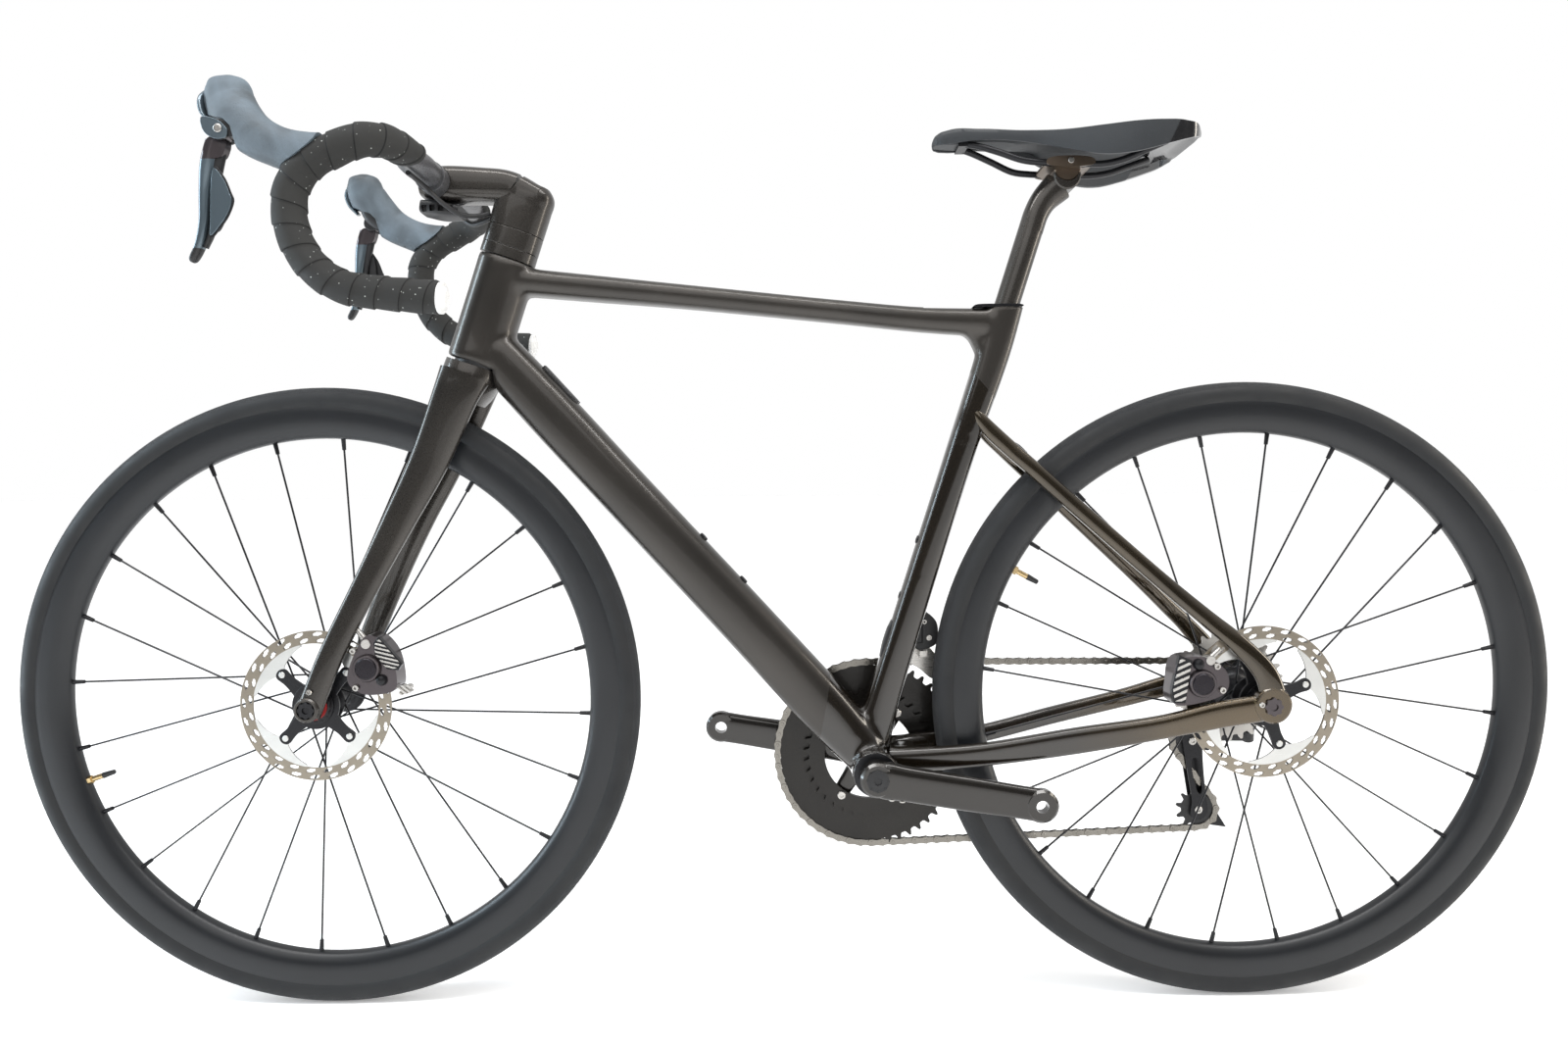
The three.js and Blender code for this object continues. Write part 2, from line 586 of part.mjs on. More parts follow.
/** A brake hose from under the tape, along the bar and into the front of the stem's column. */
function brakeHose(side) {
  const points = [
    vec(368, 100, 878.2), vec(368, 70, 878), vec(366, 48, 876), vec(356, 34, 866), vec(341, 22, 857), vec(326, 12, 858),
    steered(34.9, STEM_BOTTOM + 9, 7),
  ].map(flipY(side));
  return roundTube(points, 2.4, 12, 6);
}

// ---------------------------------------------------------------- wheels
function tyre() {
  const bead = RIM_OUTER + GAP;
  return turned([
    [bead, -10.5], [bead + 8, -TYRE_HALF_WIDTH], [TYRE_RADIUS - 5, -10], [TYRE_RADIUS, 0],
    [TYRE_RADIUS - 5, 10], [bead + 8, TYRE_HALF_WIDTH], [bead, 10.5],
  ], WHEEL_SEGMENTS);
}

function rim() {
  return turned([
    [RIM_INNER, -4], [RIM_INNER + 12, -RIM_HALF_WIDTH], [RIM_OUTER, -12],
    [RIM_OUTER, 12], [RIM_INNER + 12, RIM_HALF_WIDTH], [RIM_INNER, 4],
  ], WHEEL_SEGMENTS);
}

/**
 * A hub laced to just inside the rim; the axle runs through it. Every third spoke comes from the flange
 * with less tension, and the two between cross each other on the other flange.
 */
function spokedHub({ half, rightEnd, leftFlange, rightFlange, rotorY, phase, solo, pairFlange }) {
  const hub = cut(turned([
    [0, -rightEnd], [10, -rightEnd], [10, rightFlange - 5], [23, rightFlange - 2.5], [23, rightFlange + 2.5],
    [13, rightFlange + 7], [13, leftFlange - 7], [23, leftFlange - 2.5], [23, leftFlange + 2.5],
    [16.8, leftFlange + 4], [16.8, rotorY + 2], [10, rotorY + 3], [10, half - GAP], [0, half - GAP],
  ], 12), crossRod(0, 0, -90, 90, AXLE_RADIUS + 0.5, 12));
  const spokes = [];
  for (let k = 0; k < SPOKES; k++) {
    const alone = k % 3 === solo.first;
    const trails = alone ? k % 6 >= 3 : (k - solo.first + 3) % 3 === 1;
    const flange = alone ? solo.flange : pairFlange;
    const nipple = THREE.MathUtils.degToRad(phase + (k * 360) / SPOKES);
    const hole = nipple + THREE.MathUtils.degToRad(trails ? -SPOKE_LEAD : SPOKE_LEAD);
    spokes.push(rod(
      vec(20.5 * Math.cos(hole), flange, 20.5 * Math.sin(hole)),
      vec((RIM_INNER - 1.6) * Math.cos(nipple), 0, (RIM_INNER - 1.6) * Math.sin(nipple)),
      1.3, 3,
    ));
  }
  return join(hub, ...spokes);
}

function rotor(y) {
  const y0 = y - ROTOR_THICKNESS / 2;
  const y1 = y + ROTOR_THICKNESS / 2;
  const ring = (inner, outer, segments) => turned([[inner, y0], [outer, y0], [outer, y1], [inner, y1]], segments);
  const arms = [0, 1, 2, 3].map((k) => {
    const arm = block(20, 67, y0, y1, -7, 7);
    return arm.rotate([0, 43 + 90 * k, 0]);
  });
  return join(ring(17.4, 25, 16), ring(65, ROTOR_RADIUS, 32), ...arms);
}

function cassette() {
  const tip = 2.6;
  return turned([
    [AXLE_RADIUS + 1, BIG_COG_Y + 1.2], [BIG_COG_PITCH + tip, BIG_COG_Y + 1.2], [BIG_COG_PITCH + tip, BIG_COG_Y - 1],
    [BIG_COG_PITCH - 14, BIG_COG_Y - 12], [SMALL_COG_PITCH + 6, SMALL_COG_Y + 8], [SMALL_COG_PITCH - 5, SMALL_COG_Y + 3.4],
    [SMALL_COG_PITCH - 5, SMALL_COG_Y - 1.5], [AXLE_RADIUS + 1, SMALL_COG_Y - 1.5],
  ], 24);
}

// ---------------------------------------------------------------- cranks and chain
function crankArm(side, toPedal) {
  const pedal = BRACKET.clone().addScaledVector(toPedal, CRANK_LENGTH);
  const at = (distance, y) => BRACKET.clone().addScaledVector(toPedal, distance).setY(side * y);
  const arm = tube([
    [at(-6, 58), 8.5, 19],
    [at(30, 60), 8, 18.5],
    [at(100, 63.5), 7, 18.5],
    [at(CRANK_LENGTH + 4, 66), 6.5, 17.5],
  ], { power: 3.4, sides: 8 });
  const bossIn = side > 0 ? 46.4 : 49;
  const boss = crossRod(BRACKET.x, BRACKET.z, side * bossIn, side * 66, 18.5, 24);
  const end = crossRod(pedal.x, pedal.z, side * 59.5, side * 72.5, 17.5, 20);
  return cut(join(arm, boss, end), crossRod(pedal.x, pedal.z, side * 50, side * 80, 6.6));
}

function leftCrank() {
  const back = vec(-Math.cos(CRANK_TILT), 0, -Math.sin(CRANK_TILT));
  return cut(crankArm(1, back), crossRod(BRACKET.x, BRACKET.z, 40, 62, SPINDLE_RADIUS + 0.4));
}

function rightCrank() {
  const ahead = vec(Math.cos(CRANK_TILT), 0, Math.sin(CRANK_TILT));
  const spindle = crossRod(BRACKET.x, BRACKET.z, -60, 61, SPINDLE_RADIUS);
  const spider = [0, 1, 2, 3].map((k) => {
    const turn = THREE.MathUtils.degToRad(34 + 90 * k);
    const at = (r, y) => vec(BRACKET.x + r * Math.cos(turn), y, BRACKET.z + r * Math.sin(turn));
    return tube([[at(8, -54), 5, 12], [at(62, -51.2), 2.6, 9]], { power: 4, sides: 8 });
  });
  return join(crankArm(-1, ahead), spindle, ...spider);
}

function chainring(y, pitch) {
  const outer = pitch - CHAIN_HALF_HEIGHT - 1.3;
  const half = 1.7;
  return turned([[50, y - half], [outer, y - half], [outer, y + half], [50, y + half]], WHEEL_SEGMENTS);
}

/** The angles at which a straight run leaves one wheel and meets the next; turn is +1 anticlockwise. */
function tangent(from, fromRadius, fromTurn, to, toRadius, toTurn) {
  const dx = to.x - from.x;
  const dz = to.z - from.z;
  const distance = Math.hypot(dx, dz);
  const swing = Math.acos((fromTurn * fromRadius - toTurn * toRadius) / distance);
  const normal = Math.atan2(dz, dx) - swing;
  return [normal + (fromTurn > 0 ? 0 : Math.PI), normal + (toTurn > 0 ? 0 : Math.PI)];
}

/** The chain's loop: over the big ring, back to the small cog, and down through both pulleys. */
function chain() {
  const wheels = [
    { centre: BRACKET.clone().setY(BIG_RING_Y), radius: BIG_RING_PITCH, turn: 1, steps: 16 },
    { centre: REAR_AXLE.clone().setY(SMALL_COG_Y), radius: SMALL_COG_PITCH, turn: 1, steps: 8 },
    { centre: GUIDE_PULLEY, radius: SMALL_COG_PITCH, turn: -1, steps: 6 },
    { centre: TENSION_PULLEY, radius: SMALL_COG_PITCH, turn: 1, steps: 8 },
  ];
  const runs = wheels.map((wheel, i) => {
    const next = wheels[(i + 1) % wheels.length];
    return tangent(wheel.centre, wheel.radius, wheel.turn, next.centre, next.radius, next.turn);
  });
  const rings = [];
  wheels.forEach((wheel, i) => {
    const enter = runs[(i + wheels.length - 1) % wheels.length][1];
    let sweep = runs[i][0] - enter;
    while (wheel.turn * sweep < 0) sweep += wheel.turn * 2 * Math.PI;
    while (Math.abs(sweep) > 2 * Math.PI) sweep -= wheel.turn * 2 * Math.PI;
    for (let k = 0; k <= wheel.steps; k++) {
      const angle = enter + (sweep * k) / wheel.steps;
      const out = vec(Math.cos(angle), 0, Math.sin(angle));
      const point = wheel.centre.clone().addScaledVector(out, wheel.radius);
      const corner = (across, outward) => point.clone()
        .addScaledVector(AXIS_Y, across * CHAIN_HALF_WIDTH)
        .addScaledVector(out, outward * wheel.turn * CHAIN_HALF_HEIGHT);
      rings.push([corner(-1, -1), corner(1, -1), corner(1, 1), corner(-1, 1)]);
    }
  });
  return skin(rings, { loop: true });
}

// ---------------------------------------------------------------- derailleurs
/** The front derailleur's motor body on its seat-tube bracket. */
function frontDerailleur() {
  const body = plate([[-146, 384], [-164, 387], [-170, 396], [-168, 416], [-152, 426], [-144, 404]], -34.2, -20);
  return join(body, block(-152, -136, -24, -16.4, 392, 412));
}

/** Two plates that the chain runs between, joined above and below it behind the ring. */
function frontDerailleurCage() {
  const outline = [
    [-112, 372.5], [-120, 384], [-140, 388], [-160, 384], [-172, 372], [-178, 350], [-166, 347], [-150, 360], [-130, 368.5],
  ];
  const bridge = [[-122, 378], [-156, 379], [-157, 384], [-140, 387], [-122, 383]];
  const tail = [[-166, 347.5], [-177.5, 350.5], [-176, 355], [-168, 353]];
  return join(
    plate(outline, -42.2, -40.8),
    plate(outline, -54.8, -53.4),
    plate(bridge, -54, -41.5),
    plate(tail, -54, -41.5),
    block(-159, -150, -41.5, -25, 374, 382.4),
  );
}

/** The rear derailleur's linkage: two parallel pivots, slanted so that the cage drops as it moves inwards. */
const LINK_REACH = vec(0.99, 0, -0.148);
const LINK_TRAVEL = vec(0, 0.945, -0.327);
const LINK_PIN = LINK_REACH.clone().cross(LINK_TRAVEL).normalize();
const LINK_START = vec(-546, -78, 270);
const LINK_END = LINK_START.clone().addScaledVector(LINK_REACH, 59.6).addScaledVector(LINK_TRAVEL, -17.1);
const LINK_HALF_HEIGHT = 7.5;
const onPin = (centre, height) => centre.clone().addScaledVector(LINK_PIN, height);

function rearDerailleur() {
  const bolt = crossRod(HANGER.x, 304, -84, -78, 8);
  const arm = tube([
    [vec(-497, -86, 304), 5, 8], [vec(-512, -85, 300), 6, 9], [vec(-530, -82, 293), 7, 9],
    [onPin(LINK_START, LINK_HALF_HEIGHT + 7), 8, 8], [onPin(LINK_START, LINK_HALF_HEIGHT + 6).add(vec(-7, 0, 0)), 6, 6],
  ]);
  const linkSpace = rod(onPin(LINK_START, -30), onPin(LINK_START, LINK_HALF_HEIGHT + 0.6), 60);
  const dropoutSpace = crossRod(REAR_AXLE.x - 1, REAR_AXLE.z + 1, -80.4, -60, 19.5);
  return cut(join(bolt, arm), linkSpace, dropoutSpace);
}

function derailleurLink() {
  const arm = tube([[LINK_START, 6.5, LINK_HALF_HEIGHT - 0.5], [LINK_END, 6.5, LINK_HALF_HEIGHT - 0.5]], { power: 5 });
  const eye = (centre) => rod(onPin(centre, -LINK_HALF_HEIGHT), onPin(centre, LINK_HALF_HEIGHT), 7, 12);
  return join(arm, eye(LINK_START), eye(LINK_END));
}

function derailleurKnuckle() {
  const barrel = crossRod(GUIDE_PULLEY.x, GUIDE_PULLEY.z, -84, -69, 11);
  const ear = tube([
    [vec(-468, -80, 262), 8, 6], [vec(-474, -84, 256), 8, 6], [onPin(LINK_END, -LINK_HALF_HEIGHT - 5), 7, 5],
    [onPin(LINK_END, -LINK_HALF_HEIGHT - 4.6).add(vec(-6, 0, 0)), 6, 4],
  ]);
  const linkSpace = rod(onPin(LINK_END, 30), onPin(LINK_END, -LINK_HALF_HEIGHT - 0.6), 11);
  return cut(join(barrel, ear), linkSpace);
}

/** Two plates with the pulleys' pins between them; the outer plate has a chain guard behind. */
function derailleurCage() {
  const inner = [
    [-482, 276], [-472, 281], [-461, 275], [-464, 248], [-472, 201], [-471, 181], [-481, 175], [-491, 184], [-488, 209],
    [-485, 240],
  ];
  const outer = [
    [-485, 278], [-472, 283], [-460, 276], [-463, 248], [-471, 201], [-470, 179], [-484, 168], [-517, 163], [-500, 190],
    [-489, 209], [-486, 240],
  ];
  const pins = [GUIDE_PULLEY, TENSION_PULLEY].map((p) => crossRod(p.x, p.z, -67.5, -57.5, 3.5, 12));
  return join(plate(inner, -58.5, -57.1), plate(outer, -68.2, -66.6), ...pins);
}

function pulley(at) {
  const outer = SMALL_COG_PITCH - CHAIN_HALF_HEIGHT - 0.9;
  const profile = [[4, -1.6], [outer, -1.6], [outer, 1.6], [4, 1.6]];
  return turned(profile).translate(at.toArray());
}

// ---------------------------------------------------------------- seat
const CLAMP_AT = vec(-303, 0, 903);

function seatpost() {
  const lower = rod(POST_BOTTOM, POST_TOP, POST_RADIUS);
  const neck = tube([
    [POST_TOP.clone().add(vec(2, 0, -7)), 13, 13.2],
    [vec(-281, 0, 874), 13, 14],
    [vec(-296, 0, 889), 13, 17],
  ], { power: 2.2, sides: 10 });
  const cradle = crossRod(CLAMP_AT.x, CLAMP_AT.z - 6, -15, 15, 14.5, 20);
  const bed = crossRod(CLAMP_AT.x, CLAMP_AT.z + 3, -40, 40, 14.8, 24);
  return cut(join(lower, neck, cradle), bed, block(-340, -270, -40, 40, 901.8, 940));
}

/** Both halves of the rail clamp with their bolts, rocking in the post's cradle. */
function saddleClamp() {
  const rocker = crossRod(CLAMP_AT.x, CLAMP_AT.z + 3, -14, 14, 14.4, 24);
  const wing = block(-327, -279, -27, 27, 902.6, 914);
  const top = block(-325, -281, -14, 14, 903, 918);
  const belly = cut(rocker, block(-340, -270, -40, 40, 912, 940));
  const grooves = [1, -1].map((side) => rod(vec(-340, 22 * side, 906.5), vec(-268, 22 * side, 908.5), 4.3, 12));
  return cut(join(belly, wing, top), ...grooves);
}

const RAIL_LINE = new THREE.CatmullRomCurve3([
  vec(-192, 9, 932), vec(-206, 13, 928.5), vec(-228, 18, 920.5), vec(-252, 22, 911), vec(-270, 22, 908.5),
  vec(-303, 22, 907.6), vec(-338, 22, 906.6), vec(-358, 25, 910), vec(-384, 31, 919.5), vec(-406, 36, 928),
]).getPoints(14);

/** Both rails and the nose block that joins them, grown by a gap. */
function railShape(gap) {
  const rail = (side) => pipe(framed(RAIL_LINE.map(flipY(side))), 3.5 + gap, 6);
  const cap = (side) => rod(vec(-404, 35.6 * side, 927.2), vec(-407, 36.2 * side, 928.5), 3.5 + 2 * gap, 6);
  const nose = block(-197 - gap, -187 + gap, -14 - gap, 14 + gap, 928 - gap, 936 + gap);
  return gap ? join(rail(1), rail(-1), nose, cap(1), cap(-1)) : join(rail(1), rail(-1), nose);
}

/** The saddle's sections: x, half width, height of the crown, of the shoulder and of the skirt's edge. */
const SADDLE_STATIONS = [
  [-161, 7, 938, 935, 931], [-166, 12, 944, 940, 930], [-176, 16, 947.5, 943, 930], [-210, 20, 948.5, 943, 933],
  [-255, 26, 945.5, 940, 929], [-295, 42, 943.5, 936, 917], [-330, 60, 943.5, 935, 906], [-358, 68, 944.5, 936, 906],
  [-385, 69, 945.5, 937, 912], [-410, 65, 944.5, 937, 919], [-426, 56, 941, 935, 924], [-433, 44, 936, 932, 927],
];

function saddle() {
  const rings = SADDLE_STATIONS.map(([x, half, crown, shoulder, edge]) => {
    const outline = [];
    const fall = crown - shoulder;
    outline.push(vec(x, -half, edge));
    for (let k = -3; k <= 3; k++) outline.push(vec(x, (k / 3.25) * half, crown - fall * Math.abs(k / 3) ** 2.5));
    outline.push(vec(x, half, edge));
    outline.push(vec(x, half - 3, edge));
    const under = Math.max(edge, 934 - (half > 40 ? 3 : 0));
    for (const k of [1, 0, -1]) outline.push(vec(x, k * 0.62 * (half - 3), Math.min(shoulder - 4, under)));
    outline.push(vec(x, 3 - half, edge));
    return outline;
  });
  return cut(skin(rings), railShape(GAP));
}

// ---------------------------------------------------------------- assembly
add('front_triangle', frontTriangle(), SATIN_PAINT);
add('seatstays', seatstays(), GLOSS_PAINT);
add('chainstays', chainstays(), GLOSS_PAINT);
add('derailleur_hanger', hanger(), BLACK_METAL);
const bracketGroup = new THREE.Group();
bracketGroup.position.copy(BRACKET);
bicycle.add(bracketGroup);
add('bottom_bracket', bottomBracket(), BLACK_METAL, bracketGroup);
add('seatpost_clamp', seatpostClamp(), BLACK_METAL);
add('rear_axle', axle(REAR_AXLE, 80, 80.3, 82.3, 9.5), BLACK_METAL);
const REAR_CALIPER = [[-404, 336], [-455, 347], [-460, 372], [-438, 389], [-407, 388], [-400, 362]];
add('rear_caliper', caliper(REAR_CALIPER, REAR_AXLE, REAR_ROTOR_Y, [-442, 363]), BLACK_METAL);
add('front_derailleur', frontDerailleur(), BLACK_PLASTIC);
add('rear_derailleur', rearDerailleur(), BLACK_PLASTIC);

add('fork', fork(), SATIN_PAINT);
add('front_axle', axle(FRONT_AXLE, 64, 61.4, 64.6, 9), BLACK_METAL);
const FRONT_CALIPER = [[446, 413], [430, 416], [414, 398], [408, 372], [410, 356], [426, 351], [448, 352], [464, 370]];
add('front_caliper', caliper(FRONT_CALIPER, FRONT_AXLE, FRONT_ROTOR_Y, [439, 382]), BLACK_METAL);
const column = (up0, up1) => cut(
  tube([[steered(5, up0), 20.5, 29.5], [steered(5, up1), 20, 29.5]], { power: 2.8, sides: 10 }),
  steeredRod(up0 - 1, up1 + 1, STEERER_RADIUS + 0.6),
);
add('headset_cover', column(HEAD_TOP + 0.7, COVER_TOP), SATIN_PAINT);
add('headset_spacer', column(COVER_TOP + GAP, STEM_BOTTOM - GAP), SATIN_PAINT);
add('stem', stem(), SATIN_PAINT);
add('stem_cover', stemCover(), SATIN_PAINT);
add('handlebar', handlebar(), CARBON);
add('junction_box', junctionBox(), BLACK_PLASTIC);
for (const [label, side] of [['left', 1], ['right', -1]]) {
  add(`${label}_brake_hose`, brakeHose(side), RUBBER);
  add(`${label}_bar_tape`, barTape(side), TAPE);
  add(`${label}_bar_plug`, barPlug(side), WHITE_PLASTIC);
  add(`${label}_lever_bracket`, leverBracket(side), BLACK_PLASTIC);
  add(`${label}_hood`, hood(side), HOOD_RUBBER);
  add(`${label}_brake_lever`, brakeLever(side), LEVER_PAINT);
  add(`${label}_shift_paddle`, shiftPaddle(side), LEVER_PAINT);
  add(`${label}_shift_button`, shiftButton(side), BLACK_PLASTIC);
}

const FRONT_HUB = {
  half: FRONT_HUB_HALF, rightEnd: FRONT_HUB_HALF - GAP, leftFlange: 22, rightFlange: -33, rotorY: FRONT_ROTOR_Y,
  phase: 3.9, solo: { first: 0, flange: -33 }, pairFlange: 22,
};
const REAR_HUB = {
  half: REAR_HUB_HALF, rightEnd: 26.5, leftFlange: 34, rightFlange: -18, rotorY: REAR_ROTOR_Y,
  phase: 20.5, solo: { first: 2, flange: 34 }, pairFlange: -18,
};
for (const [label, centre, hub] of [['front', FRONT_AXLE, FRONT_HUB], ['rear', REAR_AXLE, REAR_HUB]]) {
  const wheel = new THREE.Group();
  wheel.position.copy(centre);
  bicycle.add(wheel);
  add(`${label}_tyre`, tyre(), RUBBER, wheel);
  add(`${label}_rim`, rim(), CARBON, wheel);
  add(`${label}_hub_and_spokes`, spokedHub(hub), BLACK_METAL, wheel);
  add(`${label}_rotor`, rotor(hub.rotorY), ROTOR_STEEL, wheel);
}
const cassetteGroup = new THREE.Group();
cassetteGroup.position.copy(REAR_AXLE);
bicycle.add(cassetteGroup);
add('cassette', cassette(), STEEL, cassetteGroup);

add('left_crank', leftCrank(), DARK_ALLOY);
add('right_crank', rightCrank(), DARK_ALLOY);
add('big_chainring', chainring(BIG_RING_Y, BIG_RING_PITCH), DARK_ALLOY, bracketGroup);
add('small_chainring', chainring(SMALL_RING_Y, SMALL_RING_PITCH), DARK_ALLOY, bracketGroup);
add('chain', chain(), STEEL);
add('front_derailleur_cage', frontDerailleurCage(), BLACK_METAL);
add('rear_derailleur_link', derailleurLink(), BLACK_PLASTIC);
add('rear_derailleur_knuckle', derailleurKnuckle(), BLACK_PLASTIC);
add('rear_derailleur_cage', derailleurCage(), BLACK_METAL);
add('guide_pulley', pulley(GUIDE_PULLEY), BLACK_PLASTIC);
add('tension_pulley', pulley(TENSION_PULLEY), BLACK_PLASTIC);

add('seatpost', seatpost(), SATIN_PAINT);
add('saddle_clamp', saddleClamp(), DARK_ALLOY);
add('saddle_rails', railShape(0), BLACK_METAL);
add('saddle', saddle(), SADDLE_COVER);

export default bicycle;
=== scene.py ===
"""Looks of the road bicycle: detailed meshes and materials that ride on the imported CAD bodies.

Shapes are made in millimetres, in the part's own frame (+X forward, +Y left, +Z up).
"""
import math

import bmesh
import bpy
import numpy as np
from mathutils import Matrix, Vector


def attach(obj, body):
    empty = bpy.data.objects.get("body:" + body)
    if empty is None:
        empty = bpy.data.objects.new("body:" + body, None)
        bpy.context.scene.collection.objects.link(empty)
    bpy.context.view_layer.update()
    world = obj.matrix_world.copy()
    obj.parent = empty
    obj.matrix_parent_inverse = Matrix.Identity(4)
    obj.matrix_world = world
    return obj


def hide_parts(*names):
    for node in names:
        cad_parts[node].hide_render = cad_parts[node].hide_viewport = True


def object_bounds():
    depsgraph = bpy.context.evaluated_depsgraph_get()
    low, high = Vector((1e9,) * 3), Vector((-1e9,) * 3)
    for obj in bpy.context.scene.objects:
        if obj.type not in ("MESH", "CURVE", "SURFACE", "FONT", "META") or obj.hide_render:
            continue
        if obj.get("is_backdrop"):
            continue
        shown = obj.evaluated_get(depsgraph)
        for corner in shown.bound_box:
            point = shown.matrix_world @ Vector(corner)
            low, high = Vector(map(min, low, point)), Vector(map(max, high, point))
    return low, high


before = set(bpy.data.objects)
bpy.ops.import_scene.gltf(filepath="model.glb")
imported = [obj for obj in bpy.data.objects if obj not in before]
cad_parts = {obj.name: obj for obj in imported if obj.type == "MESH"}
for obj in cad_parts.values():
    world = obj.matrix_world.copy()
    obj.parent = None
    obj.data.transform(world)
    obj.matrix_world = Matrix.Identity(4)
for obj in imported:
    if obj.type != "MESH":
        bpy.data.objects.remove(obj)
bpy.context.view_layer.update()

# ---------------------------------------------------------------- dimensions
MM = 0.001
WHEEL_X = 499.5
AXLE_Z = 339.0
TYRE_RADIUS, TYRE_ROOM = 339.0, 6.0
TREAD_ROUND, CASING_HALF = 14.4, 14.0
RIM_OUTER = 318.0
RIM_INNER = 284.0
ROTOR_RADIUS = 80.0
FRONT_ROTOR_Y, REAR_ROTOR_Y = 39.5, 55.7
SPOKES = 24
SPOKE_LEAD = 78.0
HOLE_CIRCLE = 20.5
HEAD_ANGLE = math.radians(71.5)
RAKE = 45.0
HEAD_BOTTOM, HEAD_TOP, COVER_TOP, STEM_BOTTOM = 397.0, 514.0, 526.0, 546.0
BRACKET = np.array([-94.4, 0.0, 260.8])
SHELL_BORE = 20.6
CRANK_LENGTH = 172.5
CRANK_TILT = math.radians(8.96)
CHAIN_PITCH = 12.7
HOOD_Y, DROP_Y = 172.0, 174.0
BAR_CLAMP = (368.0, 893.0)
BAR_RADIUS, TAPE_RADIUS = 11.9, 15.5
TAPE_TURN = 22.0
LEVER_PIVOT = (508.0, 894.0)
GUIDE = np.array([-472.0, -62.6, 268.0])
TENSION = np.array([-480.0, -62.6, 187.0])
FRONT_AXLE = np.array([WHEEL_X, 0.0, AXLE_Z])
REAR_AXLE = np.array([-WHEEL_X, 0.0, AXLE_Z])
AXIS_Y = np.array([0.0, 1.0, 0.0])
AXIS_GAP = 0.01  # radius left open where a turned shape closes on its axis


def pitch_radius(teeth):
    return teeth * CHAIN_PITCH / (2 * math.pi)


# ---------------------------------------------------------------- materials
def start(name, color, rough, metal):
    material = bpy.data.materials.new(name)
    material.use_nodes = True
    shader = material.node_tree.nodes["Principled BSDF"]
    shader.inputs["Base Color"].default_value = (*color, 1)
    shader.inputs["Roughness"].default_value = rough
    shader.inputs["Metallic"].default_value = metal
    return material, material.node_tree, shader


def coordinate(tree, source):
    return tree.nodes.new("ShaderNodeTexCoord").outputs[source]


def split(tree, source="Object"):
    """The separate X, Y and Z of a coordinate."""
    parts = tree.nodes.new("ShaderNodeSeparateXYZ")
    tree.links.new(coordinate(tree, source), parts.inputs[0])
    return parts.outputs


def reach_along(tree, direction, source="Object"):
    """How far a coordinate lies along a direction."""
    dot = tree.nodes.new("ShaderNodeVectorMath")
    dot.operation = "DOT_PRODUCT"
    dot.inputs[1].default_value = direction
    tree.links.new(coordinate(tree, source), dot.inputs[0])
    return dot.outputs["Value"]


def texture(tree, kind, scale, source="Object", stretch=None, **settings):
    """A procedural texture in the object's own coordinates, or in its surface coordinates."""
    node = tree.nodes.new(kind)
    node.inputs["Scale"].default_value = scale
    link = coordinate(tree, source)
    if stretch:
        mapping = tree.nodes.new("ShaderNodeMapping")
        mapping.inputs["Scale"].default_value = stretch
        tree.links.new(link, mapping.inputs["Vector"])
        link = mapping.outputs["Vector"]
    tree.links.new(link, node.inputs["Vector"])
    for key, value in settings.items():
        node.inputs[key].default_value = value
    return node


def noise(tree, scale, detail, **settings):
    return texture(tree, "ShaderNodeTexNoise", scale, Detail=detail, **settings).outputs["Fac"]


def ranged(tree, value, from_low, from_high, low, high):
    node = tree.nodes.new("ShaderNodeMapRange")
    for key, number in (("From Min", from_low), ("From Max", from_high), ("To Min", low), ("To Max", high)):
        node.inputs[key].default_value = number
    tree.links.new(value, node.inputs["Value"])
    return node.outputs["Result"]


def blend_color(tree, factor, first, second):
    node = tree.nodes.new("ShaderNodeMix")
    node.data_type = "RGBA"
    tree.links.new(factor, node.inputs[0])
    for socket, color in ((6, first), (7, second)):
        if isinstance(color, tuple):
            node.inputs[socket].default_value = (*color, 1)
        else:
            tree.links.new(color, node.inputs[socket])
    return node.outputs[2]


def computed(tree, operation, *values):
    node = tree.nodes.new("ShaderNodeMath")
    node.operation = operation
    for value, socket in zip(values, node.inputs):
        tree.links.new(value, socket)
    return node.outputs[0]


def feed(tree, shader, **values):
    """Links values to a shader's sockets, named with _ for a space."""
    for name, value in values.items():
        tree.links.new(value, shader.inputs[name.replace("_", " ")])


def relief(tree, shader, height, distance, base=None):
    bump = tree.nodes.new("ShaderNodeBump")
    bump.inputs["Distance"].default_value = distance
    tree.links.new(height, bump.inputs["Height"])
    if base is not None:
        tree.links.new(base, bump.inputs["Normal"])
    feed(tree, shader, Normal=bump.outputs["Normal"])


def soft_corners(tree, radius):
    """Normals that round off the seams between joined tubes."""
    bevel = tree.nodes.new("ShaderNodeBevel")
    bevel.samples = 4
    bevel.inputs["Radius"].default_value = radius
    return bevel.outputs["Normal"]


def surface(name, color, rough, metal=0.0, coat=0.0, vary=0.12, grain=900.0, bump=0.00002, rough_vary=0.06):
    """A finish with a fine grain, slow changes of tone and a slightly uneven sheen."""
    material, tree, shader = start(name, color, rough, metal)
    slow = noise(tree, 14.0, 2.0)
    fine = noise(tree, grain, 3.0)
    darker = tuple(c * (1 - vary) for c in color)
    lighter = tuple(min(1, c * (1 + vary)) for c in color)
    sheen = ranged(tree, fine, 0.3, 0.7, max(0.02, rough - rough_vary), min(1, rough + rough_vary))
    feed(tree, shader, Base_Color=blend_color(tree, slow, darker, lighter), Roughness=sheen)
    shader.inputs["Coat Weight"].default_value = coat
    shader.inputs["Coat Roughness"].default_value = 0.06
    relief(tree, shader, fine, bump)
    return material


